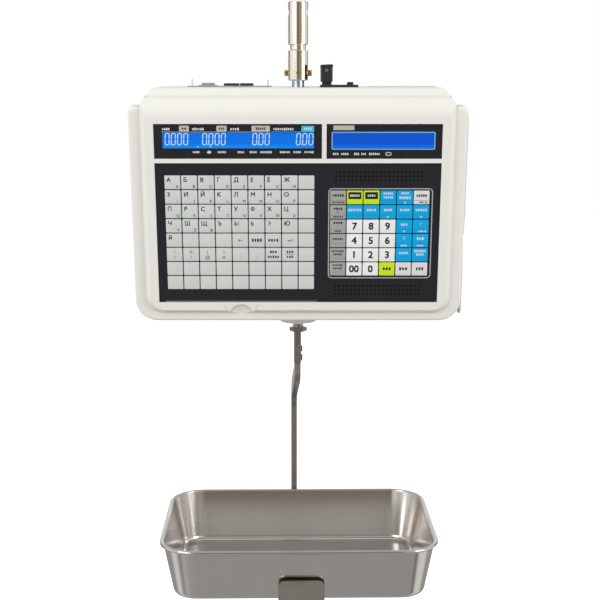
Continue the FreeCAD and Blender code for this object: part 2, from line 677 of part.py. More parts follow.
def bar_fork():
    """Slim fork: two cheeks clamp the tongue of the hanger bar."""
    fork = box(FORK_X, (-11, 11), (FORK_BOTTOM, NUT_BOTTOM))
    upright_edges = [edge for edge in fork.Edges if edge.BoundBox.ZLength > 40]
    fork = fork.makeFillet(1.5, upright_edges)
    slot = box(TENON_X, (-12, 12), (FORK_BOTTOM - 1, -438))
    cheek_chamfer = plate_xz([(FORK_X[1] - 2, FORK_BOTTOM), (FORK_X[1] + 1, FORK_BOTTOM),
                              (FORK_X[1] + 1, FORK_BOTTOM + 3)], (-12, 12))
    holes = [cylinder(2.5, (FORK_X[0] - 1, 0, z), (FORK_X[1] + 1, 0, z))
             for z in FORK_SCREW_HEIGHTS]
    holes.append(cylinder(3.0, (0, 0, NUT_BOTTOM - 10), (0, 0, NUT_BOTTOM + 1)))
    return turned_with_carrier(fork.cut([slot, cheek_chamfer] + holes))


def plate_xz(points, y):
    """A prism along Y whose section is the polygon of (x, z) points."""
    corners = [Vector(x, y[0], z) for x, z in points]
    face = Part.Face(Part.makePolygon(corners + corners[:1]))
    return face.extrude(Vector(0, y[1] - y[0], 0))


def hanger_bar():
    """Flat bar on edge: back from the fork, down behind the tray, forward below it."""
    arm_z = PLATE_TOP - PLATE_THICKNESS - BAR_WIDTH / 2
    path = rounded_path([(0, FORK_BOTTOM), (0, FORK_BOTTOM - 14), (BAR_BACK_Y, BAR_KNEE_Z),
                         (BAR_BACK_Y, arm_z), (BAR_FRONT_Y, arm_z)], (13, 40, 34))
    half = BAR_WIDTH / 2
    corners = [Vector(x, y, FORK_BOTTOM) for x, y in
               ((BAR_X[0], -half), (BAR_X[1], -half), (BAR_X[1], half), (BAR_X[0], half))]
    section = Part.makePolygon(corners + corners[:1])
    bar = path.makePipeShell([section], True, False)
    bar = bar.fuse(box(TENON_X, (-9, 9), (FORK_BOTTOM - 4, -438)))
    holes = [cylinder(2.5, (FORK_X[0] - 1, 0, z), (FORK_X[1] + 1, 0, z))
             for z in FORK_SCREW_HEIGHTS]
    middle = sum(BAR_X) / 2
    holes += [cylinder(2.5, (middle, y, arm_z), (middle, y, PLATE_TOP)) for y in ARM_SCREW_PLACES]
    return turned_with_carrier(bar.cut(holes).removeSplitter())


def bar_screws():
    """Two screws through the fork and two through the carrier plate."""
    screws = [pan_screw((FORK_X[1], 0, z), (-1, 0, 0), FORK_X[1] - FORK_X[0], 2.5, 4.2, 2.0)
              for z in FORK_SCREW_HEIGHTS]
    middle = sum(BAR_X) / 2
    screws += [pan_screw((middle, y, PLATE_TOP), (0, 0, -1), FORK_X[1] - FORK_X[0], 2.5, 4.2, 2.0)
               for y in ARM_SCREW_PLACES]
    return [turned_with_carrier(screw) for screw in screws]


def carrier_plate():
    """Cross-shaped plate under the tray with a turned-up front tab."""
    z = (PLATE_TOP - PLATE_THICKNESS, PLATE_TOP)
    spine = box((-TAB_HALF_WIDTH, TAB_HALF_WIDTH), (TAB_OUTER_Y, 100), z)
    wings = upright_plate((-112, 112), (-40, 40), z, 12)
    tab_outline = rounded_outline((-TAB_HALF_WIDTH, TAB_HALF_WIDTH), (z[0], TAB_TOP), 0.1, 9.0)
    tab = upright(prism(tab_outline, (-TAB_OUTER_Y - PLATE_THICKNESS, -TAB_OUTER_Y)))
    plate = join([spine, wings, tab])
    middle = sum(BAR_X) / 2
    holes = [cylinder(2.5, (middle, y, z[0] - 1), (middle, y, z[1] + 1)) for y in ARM_SCREW_PLACES]
    return turned_with_carrier(plate.cut(holes))


def upright_plate(x, y, z, radius):
    """A flat plate with rounded corners, in the head's own axes."""
    return prism(rounded_outline(x, y, radius, radius), z)


def tray_pads():
    """Four rubber pads on the carrier plate that the tray rests on."""
    return [turned_with_carrier(cylinder(9.0, (x, y, PLATE_TOP), (x, y, TRAY_BOTTOM - 0.3)))
            for x in (-98, 98) for y in (-28, 28)]


def tray_volume(inset, floor_radius):
    """The drafted volume of the tray between its rim and its floor."""
    floor = TRAY_BOTTOM + inset
    rim_x, rim_y = (half - inset for half in TRAY_HALF)
    rim = rounded_outline((-rim_x, rim_x), (-rim_y, rim_y), TRAY_CORNER - inset, TRAY_CORNER - inset)
    rim.translate(Vector(0, 0, TRAY_TOP))
    foot_x, foot_y = rim_x - TRAY_DRAFT, rim_y - TRAY_DRAFT
    corner = TRAY_CORNER - inset - TRAY_DRAFT
    foot = rounded_outline((-foot_x, foot_x), (-foot_y, foot_y), corner, corner)
    foot.translate(Vector(0, 0, floor))
    volume = Part.makeLoft([foot, rim], True, True)
    floor_edges = [edge for edge in volume.Edges
                   if abs(edge.BoundBox.ZMax - floor) < 0.01]
    return volume.makeFillet(floor_radius, floor_edges)


def tray():
    """Pressed steel tray with drafted walls and a rolled rim."""
    outside = tray_volume(0, TRAY_FLOOR_RADIUS)
    inside = tray_volume(TRAY_WALL, TRAY_FLOOR_RADIUS - TRAY_WALL)
    x, y = (half + BEAD_RADIUS - 0.6 for half in TRAY_HALF)
    path = rounded_outline((-x, x), (-y, y), TRAY_CORNER + 2, TRAY_CORNER + 2)
    path.translate(Vector(0, 0, TRAY_TOP))
    start = path.OrderedVertexes[0].Point
    circle = Part.Wire(Part.makeCircle(BEAD_RADIUS, start, AXIS_Y))
    if abs(start.y) >= y - 0.1:
        circle = Part.Wire(Part.makeCircle(BEAD_RADIUS, start, AXIS_X))
    bead = path.makePipeShell([circle], True, False)
    return turned_with_carrier(outside.cut(inside).fuse(bead).removeSplitter(), TRAY_YAW)


# -------------------------------------------------------------- printer module
def printer_plate():
    """Side plate of the printer with the roll axle and the head's pivot pin."""
    front = [(behind_panel(-40, z), z) for z in (-385, -135)]
    plate = plate_yz(front + [(54, -135), (54, -385)], PRINTER_PLATE_X)
    holes = [along_x(4 + RUNNING_CLEARANCE, REWIND_CENTRE, PRINTER_PLATE_X),
             along_x(3 + RUNNING_CLEARANCE, PLATEN_CENTRE, PRINTER_PLATE_X)]
    plate = plate.cut(holes)
    axle = along_x(5.0, ROLL_CENTRE, (PRINTER_PLATE_X[1], AXLE_END_X))
    pivot = along_x(2.0, HEAD_PIVOT, (PRINTER_PLATE_X[1], AXLE_END_X - 3))
    return join([plate, axle, pivot])


def label_roll():
    """A full roll of blank labels."""
    return along_x(ROLL_RADIUS, ROLL_CENTRE, ROLL_X).cut(along_x(CORE_RADIUS, ROLL_CENTRE, ROLL_X))


def roll_spindle():
    """The hub that the label roll slides on, with its inner flange and end cap."""
    flange = along_x(30.0, ROLL_CENTRE, (ROLL_X[0] - 3, ROLL_X[0]))
    hub = along_x(CORE_RADIUS, ROLL_CENTRE, (ROLL_X[0], ROLL_X[1] + 2))
    cap = along_x(14.0, ROLL_CENTRE, (ROLL_X[1] + 2, ROLL_X[1] + 10))
    bore = along_x(5.0 + RUNNING_CLEARANCE, ROLL_CENTRE, (ROLL_X[0] - 5, AXLE_END_X))
    return join([flange, hub, cap]).cut(bore)


def rewind_spool():
    """Spool that winds up the empty liner, with its shaft and belt pulley."""
    return join([along_x(4.0, REWIND_CENTRE, (PULLEY_X[0], SHAFT_END_X)),
                 along_x(30.0, REWIND_CENTRE, (ROLL_X[0] - 2, ROLL_X[0])),
                 along_x(12.0, REWIND_CENTRE, ROLL_X),
                 along_x(10.0, REWIND_CENTRE, PULLEY_X)])


def platen_roller():
    """Rubber platen on its steel shaft."""
    return join([along_x(3.0, PLATEN_CENTRE, (PULLEY_X[0], SHAFT_END_X)),
                 along_x(PLATEN_RADIUS, PLATEN_CENTRE, ROLL_X)])


def platen_gear():
    """Platen gear with the belt pulley moulded on its side."""
    first = PINION_ANGLE
    wheel = gear(PLATEN_TEETH, PLATEN_CENTRE, GEAR_X, 3.0, first)
    pulley = along_x(7.0, PLATEN_CENTRE, (PULLEY_X[0], GEAR_X[0]))
    return wheel.fuse(pulley.cut(along_x(3.0, PLATEN_CENTRE, (PULLEY_X[0], GEAR_X[0])))).removeSplitter()


def pinion_centre():
    """The motor's axis, one centre distance from the platen's axis."""
    distance = GEAR_MODULE * (PLATEN_TEETH + PINION_TEETH) / 2 + GEAR_PLAY
    angle = math.radians(PINION_ANGLE)
    return (PLATEN_CENTRE[0] + distance * math.cos(angle),
            PLATEN_CENTRE[1] + distance * math.sin(angle))


def motor_pinion():
    """Motor pinion and its shaft, in mesh with the platen gear."""
    facing = PINION_ANGLE + 180 + 180 / PINION_TEETH
    teeth = gear(PINION_TEETH, pinion_centre(), GEAR_X, 1.0, facing)
    return join([teeth, along_x(2.0, pinion_centre(), (MOTOR_X[1] - 9, GEAR_X[1]))])


def drive_motor():
    """Stepping motor; its shaft turns in a bore in its front."""
    body = along_x(17.0, pinion_centre(), MOTOR_X)
    bore = along_x(2.0 + RUNNING_CLEARANCE, pinion_centre(), (MOTOR_X[1] - 10, MOTOR_X[1]))
    return body.cut(bore)


def drive_belt():
    """Belt from the platen's pulley to the rewind spool's pulley."""
    x = (PULLEY_X[0] + 1, PULLEY_X[1] - 1)
    inner = belt_loop(PLATEN_CENTRE, 7.3, REWIND_CENTRE, 10.3, x)
    outer = belt_loop(PLATEN_CENTRE, 8.5, REWIND_CENTRE, 11.5, x)
    return outer.cut(inner)


def print_head():
    """Thermal print head bar just in front of the platen."""
    face = PLATEN_CENTRE[0] - PLATEN_RADIUS - 0.4
    height = PLATEN_CENTRE[1]
    return box((ROLL_X[0] + 2, ROLL_X[1]), (face - 7, face), (height - 8, height + 8))


def head_lever():
    """Bracket that carries the print head, with its pivot tube and thumb lever."""
    face = PLATEN_CENTRE[0] - PLATEN_RADIUS - 7.4
    y, z = HEAD_PIVOT
    span = (ROLL_X[0] + 2, ROLL_X[1])
    bracket = box(span, (face - 4, face), (PLATEN_CENTRE[1] - 8, z))
    tube = along_x(4.5, HEAD_PIVOT, (span[0], LEVER_X[1]))
    thumb = box(LEVER_X, (y - 16, y + 4), (z - 14, z))
    bore = along_x(2.0 + RUNNING_CLEARANCE, HEAD_PIVOT, (span[0], AXLE_END_X))
    return join([bracket, tube, thumb]).cut(bore)


def chute_sleeve(margin=CHUTE_WALL):
    """The (x, y) extents of the label outlet, grown by a margin."""
    return ((ROLL_X[0] - 1.5 - margin, ROLL_X[1] + 1.5 + margin),
            (CHUTE_Y[0] - margin, CHUTE_Y[1] + margin))


def label_chute():
    """Bezel of the label outlet in the underside of the head."""
    low, high = HEAD_BOTTOM - 2.5, HEAD_BOTTOM + 6
    sleeve = box(*chute_sleeve(), (low, high))
    flange = box(*chute_sleeve(2 * CHUTE_WALL), (low, HEAD_BOTTOM))
    return join([sleeve, flange]).cut(box(*chute_sleeve(0), (low - 1, high + 1)))


def printer_door():
    """Side door with a round bulge over the roll and hinge barrels at its back."""
    top, low = -126.0, -392.0
    outline = [(behind_panel(-FRONT_DEPTH - DOOR_GAP, low), low),
               (behind_panel(-FRONT_DEPTH - DOOR_GAP, top), top), (60, top), (60, low)]
    plate = plate_yz(outline, DOOR_X)
    vertical = [edge for edge in plate.Edges if edge.BoundBox.XLength > 1]
    plate = plate.makeFillet(DOOR_CORNER, vertical)
    outer_edges = [edge for edge in plate.Edges if abs(edge.BoundBox.XMin - DOOR_X[1]) < 0.01]
    plate = plate.makeFillet(1.2, outer_edges)
    outer_radius = (BULGE_RADIUS ** 2 + BULGE_HEIGHT ** 2) / (2 * BULGE_HEIGHT)
    centre = Vector(DOOR_X[1] + BULGE_HEIGHT - outer_radius, *ROLL_CENTRE)
    outside = box((DOOR_X[0], DOOR_X[1] + 2 * BULGE_HEIGHT), (-50, 50), (-310, -200))
    dome = Part.makeSphere(outer_radius, centre).common(outside)
    plate = plate.fuse(dome).cut(Part.makeSphere(outer_radius - WALL, centre))
    x, y = DOOR_HINGE
    barrels = []
    for start in BARREL_HEIGHTS:
        z = (start, start + LUG_LENGTH)
        barrels.append(cylinder(3.4, (x, y, z[0]), (x, y, z[1])))
        barrels.append(box(DOOR_X, (58, y), z))
    bores = [cylinder(1.5 + RUNNING_CLEARANCE, (x, y, start - 1), (x, y, start + LUG_LENGTH + 1))
             for start in BARREL_HEIGHTS]
    grip_y = behind_panel(-FRONT_DEPTH - DOOR_GAP, -352)
    grip = box((DOOR_X[0] - 1, DOOR_X[1] + 1), (grip_y - 30, grip_y + 0.2), (-352, -284))
    latch_slot = box((DOOR_X[0] - 1, DOOR_X[1] + 1), LATCH_SLOT_Y, (LATCH_Z[0] - 0.4, LATCH_Z[1] + 0.4))
    return join([plate] + barrels).cut(bores + [grip, latch_slot])


def latch_button():
    """Sliding catch in the door, with a nose behind the hatch's front edge."""
    y = (LATCH_SLOT_Y[0] + 0.4, LATCH_SLOT_Y[1] - LATCH_TRAVEL - 0.4)
    thumb = box((DOOR_X[0] - 3, DOOR_X[1] + 1.2), y, LATCH_Z)
    nose = box((DOOR_X[0] - 7, DOOR_X[0] - 3), y, LATCH_Z)
    grips = [box((DOOR_X[1] + 0.6, DOOR_X[1] + 2), (y[0] + 2 + 3 * n, y[0] + 3.2 + 3 * n),
                 (LATCH_Z[0] - 1, LATCH_Z[1] + 1)) for n in range(3)]
    return join([thumb, nose]).cut(grips)


# ---------------------------------------------------------------- top fittings
def power_plate():
    """Black entry plate with the rocker's housing below it."""
    plate = box(POWER_PLATE_X, POWER_PLATE_Y, (-98, POWER_PLATE_TOP)).cut(casing_outside())
    housing = box((60.5, 75.5), (-13.5, 5.5), (-116, POWER_PLATE_TOP))
    y, z = ROCKER_PIVOT
    pocket = box((ROCKER_X[0] - 0.5, ROCKER_X[1] + 0.5), (y - 8.2, y + 8.2), (z - 6, POWER_PLATE_TOP + 1))
    bearings = along_x(TRUNNION_RADIUS + RUNNING_CLEARANCE, ROCKER_PIVOT,
                       (ROCKER_X[0] - TRUNNION_LENGTH - TRUNNION_END_GAP,
                         ROCKER_X[1] + TRUNNION_LENGTH + TRUNNION_END_GAP))
    return join([plate, housing]).cut([pocket, bearings])


def power_rocker():
    """Rocker, resting with its front end up."""
    y, z = ROCKER_PIVOT
    section = [(y - 6.5, z + 1.5), (y - 6.5, z + 7.2), (y, z + 5.8), (y + 6.5, z + 7.2),
               (y + 6.5, z + 1.5), (y, z - 3.5)]
    trunnions = along_x(TRUNNION_RADIUS, ROCKER_PIVOT,
                        (ROCKER_X[0] - TRUNNION_LENGTH, ROCKER_X[1] + TRUNNION_LENGTH))
    rocker = join([plate_yz(section, ROCKER_X), trunnions])
    rocker.rotate(Vector(0, y, z), AXIS_X, -ROCKER_TILT)
    return rocker


def gland_body():
    """Upright cord entry housing on a narrower neck, with a cord hole at its back."""
    block = box(GLAND_X, GLAND_Y, GLAND_Z)
    block = block.makeFillet(2.0, [edge for edge in block.Edges if edge.BoundBox.ZLength > 15])
    neck = box((GLAND_X[0] + 2, GLAND_X[1] - 1.5), (GLAND_Y[0] + 3, GLAND_Y[1] - 3),
               (POWER_PLATE_TOP, GLAND_Z[0]))
    middle = (sum(GLAND_X) / 2, sum(GLAND_Z) / 2)
    hole = cylinder(CORD_HOLE_RADIUS, (middle[0], GLAND_Y[1] - 12, middle[1]),
                    (middle[0], GLAND_Y[1] + 1, middle[1]))
    screw_hole = cylinder(1.2, (middle[0], GLAND_Y[0] - 1, GLAND_SCREW_Z),
                          (middle[0], GLAND_Y[0] + 6, GLAND_SCREW_Z))
    return join([block, neck]).cut([hole, screw_hole])


def gland_cap():
    """Sloping cap on the cord entry housing."""
    x = (GLAND_X[0] - 0.4, GLAND_X[1] + 0.4)
    y = (GLAND_Y[0] - 0.4, GLAND_Y[1] + 0.4)
    cap = plate_xz([(x[0], GLAND_Z[1]), (x[0], GLAND_TOP - 1.6), (x[0] + 2, GLAND_TOP - 0.6),
                    (x[1] - 1, GLAND_TOP), (x[1], GLAND_TOP - 1), (x[1], GLAND_Z[1])], y)
    return cap


def gland_screw():
    """Small screw that clamps the two halves of the cord entry housing."""
    x = sum(GLAND_X) / 2
    return pan_screw((x, GLAND_Y[0], GLAND_SCREW_Z), (0, 1, 0), 6.0, 1.2, 2.0, 0.8)


def io_panel():
    """Metal connector panel set on the casing's top."""
    plate = box((-145, -35), (-4, 24), (-98, IO_PANEL_TOP)).cut(casing_outside())
    return plate.cut([box((-128, -109), (5, 15), (-99, -90)), box((-95, -80), (4, 15), (-99, -90)),
                      box((-74, -61), (4, 15), (-99, -90))])


def serial_socket():
    """Nine-pin serial socket: a flanged shell facing up."""
    flange = box((-130.5, -106.5), (3, 17), (IO_PANEL_TOP, IO_PANEL_TOP + 1))
    shell = box((-127, -110), (5.5, 14.5), (IO_PANEL_TOP + 1, IO_PANEL_TOP + 3.8))
    return join([flange, shell]).cut(box((-126, -111), (6.5, 13.5), (IO_PANEL_TOP + 1, -80)))


def data_sockets():
    """Network and cash-drawer sockets, facing up."""
    sockets = []
    for x in ((-97.5, -77.5), (-76.2, -58.9)):
        body = box(x, (2, 17), (IO_PANEL_TOP, IO_PANEL_TOP + 3.2))
        sockets.append(body.cut(box((x[0] + 3, x[1] - 3), (4, 13), (IO_PANEL_TOP + 0.6, -80))))
    return sockets


def connector_posts():
    """Two thin threaded posts on the connector panel."""
    return [cylinder(0.9, (x, 10, IO_PANEL_TOP), (x, 10, top)) for x, top in ((-139.5, -85), (-39.5, -86))]


def power_supply():
    """Enclosed power supply at the lower left rear."""
    case = box((-184, -94), (8, 70), (-380, -262)).cut(box((-182, -96), (10, 68), (-378, -264)))
    slots = [box((-176 + 10 * n, -172 + 10 * n), (7, 10), (-350, -290)) for n in range(8)]
    return case.cut(slots)


# ------------------------------------------------------------------- all nodes
def all_parts():
    """Every sub-part by its node name; a list is a group of equal solids."""
    lcd_left = ((-172.2, 23.0), (-37.0, -5.0))
    lcd_right = ((41.0, 172.2), (-37.0, -5.0))
    keyboard = ((1 - PANEL_HALF_WIDTH, PANEL_HALF_WIDTH - 1), (KEYBOARD_BOTTOM + 1, KEYBOARD_TOP - 1))
    return {
        "front_case": front_case(),
        "rear_case": rear_case(),
        "case_screws": case_screws(),
        "bottom_boss": bottom_boss(),
        "left_display_window": display_window((-PANEL_HALF_WIDTH, DISPLAY_RIB[0])),
        "right_display_window": display_window((DISPLAY_RIB[1], PANEL_HALF_WIDTH)),
        "price_lcd": panel_sheet(*lcd_left, LCD_Z),
        "message_lcd": panel_sheet(*lcd_right, LCD_Z),
        "rear_window": box((-99.8, 99.8), (HUMP_REAR - 3, HUMP_REAR - 1), (-171.8, -130.2)),
        "key_overlay": key_overlay(),
        "speed_key_pads": key_pads(SPEED_ORIGIN, SPEED_KEYS),
        "numeric_key_pads": key_pads(NUMERIC_ORIGIN, NUMERIC_KEYS),
        "legend_card": panel_sheet(CARD_X, (CARD_BOTTOM, CARD_TOP), CARD_Z),
        "membrane_switch": panel_sheet(*keyboard, MEMBRANE_Z),
        "keypad_board": panel_sheet(*keyboard, KEY_BOARD_Z),
        "main_board": panel_sheet((-172, 96), (-224, -60), MAIN_BOARD_Z),
        "board_chips": board_chips(),
        "board_standoffs": board_standoffs(),
        "power_supply": power_supply(),
        "hanger_tube": hanger_tube(),
        "tube_screws": tube_screws(),
        "hanger_stud": hanger_stud(),
        "stud_nuts": stud_nuts(),
        "chassis_frame": chassis_frame(),
        "load_cell": load_cell(),
        "swivel_housing": swivel_housing(),
        "thrust_bearing": thrust_bearing(),
        "hook_spindle": hook_spindle(),
        "hook_nut": hook_nut(),
        "bar_fork": bar_fork(),
        "bar_screws": bar_screws(),
        "hanger_bar": hanger_bar(),
        "carrier_plate": carrier_plate(),
        "tray_pads": tray_pads(),
        "tray": tray(),
        "printer_plate": printer_plate(),
        "label_roll": label_roll(),
        "roll_spindle": roll_spindle(),
        "rewind_spool": rewind_spool(),
        "platen_roller": platen_roller(),
        "platen_gear": platen_gear(),
        "motor_pinion": motor_pinion(),
        "drive_motor": drive_motor(),
        "drive_belt": drive_belt(),
        "print_head": print_head(),
        "head_lever": head_lever(),
        "peel_bar": along_x(1.5, (-2.0, -366.0), (PRINTER_PLATE_X[1], ROLL_X[1])),
        "label_chute": label_chute(),
        "printer_door": printer_door(),
        "door_hinge_pins": [cylinder(1.5, (*DOOR_HINGE, z), (*DOOR_HINGE, z + 60)) for z in PIN_STARTS],
        "latch_button": latch_button(),
        "power_plate": power_plate(),
        "power_rocker": power_rocker(),
        "gland_body": gland_body(),
        "gland_cap": gland_cap(),
        "gland_screw": gland_screw(),
        "io_panel": io_panel(),
        "serial_socket": serial_socket(),
        "data_sockets": data_sockets(),
        "connector_posts": connector_posts(),
    }


def main():
    os.makedirs("parts", exist_ok=True)
    for name, shape in all_parts().items():
        if isinstance(shape, list):
            shape = Part.makeCompound(shape)
        solids = shape.Solids
        if not solids or not shape.isValid():
            raise SystemExit(f"{name} is not a valid solid")
        print(f"{name:22} {len(solids):3} solids {shape.Volume / 1000:10.2f} cm3")
        shape.exportStep(f"parts/{name}.step")


main()
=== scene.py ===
"""Looks of the hanging label printing scale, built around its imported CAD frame.

Sizes are in millimetres where a name says so or where a shape is drawn in the
panel's own frame; everything that is placed in the scene is in metres.
"""
import bpy
import bmesh
import math
import random
from mathutils import Matrix, Vector


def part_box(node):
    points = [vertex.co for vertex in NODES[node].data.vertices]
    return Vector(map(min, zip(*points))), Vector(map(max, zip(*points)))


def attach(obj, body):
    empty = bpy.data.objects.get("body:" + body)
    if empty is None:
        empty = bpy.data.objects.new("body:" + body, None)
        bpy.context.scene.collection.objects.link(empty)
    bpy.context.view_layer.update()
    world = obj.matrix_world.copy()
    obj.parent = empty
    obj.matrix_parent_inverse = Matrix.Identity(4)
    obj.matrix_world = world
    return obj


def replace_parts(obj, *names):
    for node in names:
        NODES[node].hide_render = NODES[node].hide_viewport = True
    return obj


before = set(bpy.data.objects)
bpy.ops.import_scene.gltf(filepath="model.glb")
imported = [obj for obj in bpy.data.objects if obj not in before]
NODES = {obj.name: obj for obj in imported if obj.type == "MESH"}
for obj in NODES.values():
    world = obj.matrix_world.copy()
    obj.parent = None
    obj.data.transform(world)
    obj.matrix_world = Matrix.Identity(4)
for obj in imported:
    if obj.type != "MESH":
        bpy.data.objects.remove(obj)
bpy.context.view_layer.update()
MM = 0.001

# ------------------------------------------------------------ the tilted panel
# x runs to the operator's right, y up the panel from its top edge, z out of it.
PANEL_TILT = math.radians(9.0)
WINDOW_RECESS = 1.2
WINDOW_THICKNESS = 2.0
FIT_GAP = 0.2
UP = Vector((0, -math.sin(PANEL_TILT), math.cos(PANEL_TILT)))
OUT = Vector((0, -math.cos(PANEL_TILT), -math.sin(PANEL_TILT)))
window_low, window_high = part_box("left_display_window")
window_edge = Vector((0, window_low.y, window_high.z + WINDOW_THICKNESS * MM * OUT.z))
PANEL_TOP = window_edge + OUT * WINDOW_RECESS * MM + UP * FIT_GAP * MM
PANEL = Matrix(((MM, 0, 0, 0),
                (0, MM * UP.y, MM * OUT.y, PANEL_TOP.y),
                (0, MM * UP.z, MM * OUT.z, PANEL_TOP.z),
                (0, 0, 0, 1)))

DISPLAY_HEIGHT = 44.0
WINDOW_FACE = -WINDOW_RECESS
LCD_FACE = -3.4
LCD_BACK = -7.4
OVERLAY_FACE = -1.2
KEY_FACE = -0.8
PRINT = 0.06
WINDOW_CORNER = 0.8
APERTURE_CORNER = 0.6
GLASS_MARGIN = 3.0


# ------------------------------------------------------------- shader building
def new_material(name, **sockets):
    """A material with one Principled shader whose plain sockets are set here."""
    material = bpy.data.materials.new(name)
    material.use_nodes = True
    tree = material.node_tree
    tree.nodes.clear()
    output = tree.nodes.new("ShaderNodeOutputMaterial")
    shader = tree.nodes.new("ShaderNodeBsdfPrincipled")
    tree.links.new(shader.outputs["BSDF"], output.inputs["Surface"])
    for socket, value in sockets.items():
        shader.inputs[socket.replace("_", " ")].default_value = value
    return material, tree, shader


def rgb(red, green, blue):
    """A linear colour from its 8-bit display values."""
    def linear(value):
        share = value / 255
        return share / 12.92 if share <= 0.04045 else ((share + 0.055) / 1.055) ** 2.4
    return (linear(red), linear(green), linear(blue), 1.0)


def noise(tree, scale, detail=3.0, stretch=(1, 1, 1), roughness=0.55):
    """Noise in the object's own metres; stretch squeezes it along each axis."""
    place = tree.nodes.new("ShaderNodeTexCoord")
    mapping = tree.nodes.new("ShaderNodeMapping")
    mapping.inputs["Scale"].default_value = stretch
    texture = tree.nodes.new("ShaderNodeTexNoise")
    texture.inputs["Scale"].default_value = scale
    texture.inputs["Detail"].default_value = detail
    texture.inputs["Roughness"].default_value = roughness
    tree.links.new(place.outputs["Object"], mapping.inputs["Vector"])
    tree.links.new(mapping.outputs["Vector"], texture.inputs["Vector"])
    return texture.outputs["Fac"]


def ramp(tree, factor, stops):
    """A colour ramp driven by factor; stops are (position, colour) pairs."""
    node = tree.nodes.new("ShaderNodeValToRGB")
    elements = node.color_ramp.elements
    while len(elements) < len(stops):
        elements.new(0.5)
    for element, (position, colour) in zip(elements, stops):
        element.position = position
        element.color = colour
    tree.links.new(factor, node.inputs["Fac"])
    return node.outputs["Color"]


def spread(tree, factor, low, high):
    """Factor stretched to run from low to high, kept between them."""
    node = tree.nodes.new("ShaderNodeMapRange")
    node.inputs["From Min"].default_value = 0.3
    node.inputs["From Max"].default_value = 0.7
    node.inputs["To Min"].default_value = low
    node.inputs["To Max"].default_value = high
    tree.links.new(factor, node.inputs["Value"])
    return node.outputs["Result"]


def shaded(colour, share):
    """The colour made darker or lighter by a share."""
    return tuple(min(1.0, channel * share) for channel in colour[:3]) + (1.0,)


def add_bump(tree, shader, layers):
    """Stacked bumps; layers are (height, depth in metres) pairs."""
    normal = None
    for height, depth in layers:
        node = tree.nodes.new("ShaderNodeBump")
        node.inputs["Strength"].default_value = 1.0
        node.inputs["Distance"].default_value = depth
        tree.links.new(height, node.inputs["Height"])
        if normal is not None:
            tree.links.new(normal, node.inputs["Normal"])
        normal = node.outputs["Normal"]
    tree.links.new(normal, shader.inputs["Normal"])


def plastic(name, colour, roughness=0.45, variation=0.03, grain=1800, depth=6e-6, **sockets):
    """Moulded plastic: faint colour drift, uneven gloss and a fine spark grain."""
    material, tree, shader = new_material(name, **sockets)
    drift = noise(tree, 14, 4)
    tree.links.new(ramp(tree, drift, [(0.3, shaded(colour, 1 - variation)),
                                      (0.7, shaded(colour, 1 + variation))]),
                   shader.inputs["Base Color"])
    tree.links.new(spread(tree, noise(tree, 260, 3), roughness - 0.06, roughness + 0.06),
                   shader.inputs["Roughness"])
    add_bump(tree, shader, [(noise(tree, grain, 2), depth), (noise(tree, 45, 2), depth * 4)])
    return material


def crease_shade(material, reach, depth):
    """Painted shade: darken the colour softly in corners and narrow gaps, where ambient occlusion finds
    nearby surfaces.
    """
    tree = material.node_tree
    shader = next(node for node in tree.nodes if node.type == "BSDF_PRINCIPLED")
    base = shader.inputs["Base Color"]
    colour = base.links[0].from_socket
    open_share = tree.nodes.new("ShaderNodeAmbientOcclusion")
    open_share.inputs["Distance"].default_value = reach
    open_share.samples = 12
    mix = tree.nodes.new("ShaderNodeMix")
    mix.data_type = "RGBA"
    mix.blend_type = "MULTIPLY"
    mix.inputs["Factor"].default_value = 1.0
    tree.links.new(colour, mix.inputs["A"])
    shades = ramp(tree, open_share.outputs["AO"], [(0.0, (depth, depth, depth * 0.97, 1.0)),
                                                   (0.95, (1.0, 1.0, 1.0, 1.0))])
    tree.links.new(shades, mix.inputs["B"])
    tree.links.new(mix.outputs["Result"], base)
    return material


def metal(name, colour, roughness=0.3, stretch=(1, 1, 1), streak=900, variation=0.08,
          depth=3e-6, gloss_drift=0.05, **sockets):
    """Bare or plated metal with streaks along the axis that stretch leaves long."""
    material, tree, shader = new_material(name, Metallic=1.0, **sockets)
    lines = noise(tree, streak, 5, stretch)
    tree.links.new(ramp(tree, noise(tree, 30, 4), [(0.3, shaded(colour, 1 - variation)),
                                                   (0.7, shaded(colour, 1 + variation))]),
                   shader.inputs["Base Color"])
    tree.links.new(spread(tree, lines, roughness - gloss_drift, roughness + gloss_drift),
                   shader.inputs["Roughness"])
    add_bump(tree, shader, [(lines, depth), (noise(tree, 60, 2), depth * 3)])
    return material


def ink(name, colour, roughness=0.4, **sockets):
    """Screen print: an even colour with a slightly uneven gloss."""
    material, tree, shader = new_material(name, **sockets)
    tree.links.new(ramp(tree, noise(tree, 900, 3), [(0.3, shaded(colour, 0.95)),
                                                    (0.7, shaded(colour, 1.05))]),
                   shader.inputs["Base Color"])
    tree.links.new(spread(tree, noise(tree, 1500, 2), roughness - 0.05, roughness + 0.05),
                   shader.inputs["Roughness"])
    return material


def backlight(name, middle, edge, strength):
    """A lit display layer, brighter towards its lower edge."""
    material, tree, shader = new_material(name, Roughness=0.2, Emission_Strength=strength,
                                          Specular_IOR_Level=0.25)
    place = tree.nodes.new("ShaderNodeTexCoord")
    parts = tree.nodes.new("ShaderNodeSeparateXYZ")
    tree.links.new(place.outputs["Generated"], parts.inputs["Vector"])
    wobble = tree.nodes.new("ShaderNodeMath")
    wobble.operation = "MULTIPLY_ADD"
    wobble.inputs[1].default_value = 0.08
    tree.links.new(noise(tree, 40, 2), wobble.inputs[0])
    tree.links.new(parts.outputs["Z"], wobble.inputs[2])
    glow = ramp(tree, wobble.outputs["Value"], [(0.14, edge), (0.36, middle),
                                                (0.8, shaded(middle, 0.94)), (1.0, shaded(middle, 0.75))])
    tree.links.new(glow, shader.inputs["Emission Color"])
    shader.inputs["Base Color"].default_value = shaded(middle, 0.08)
    return material


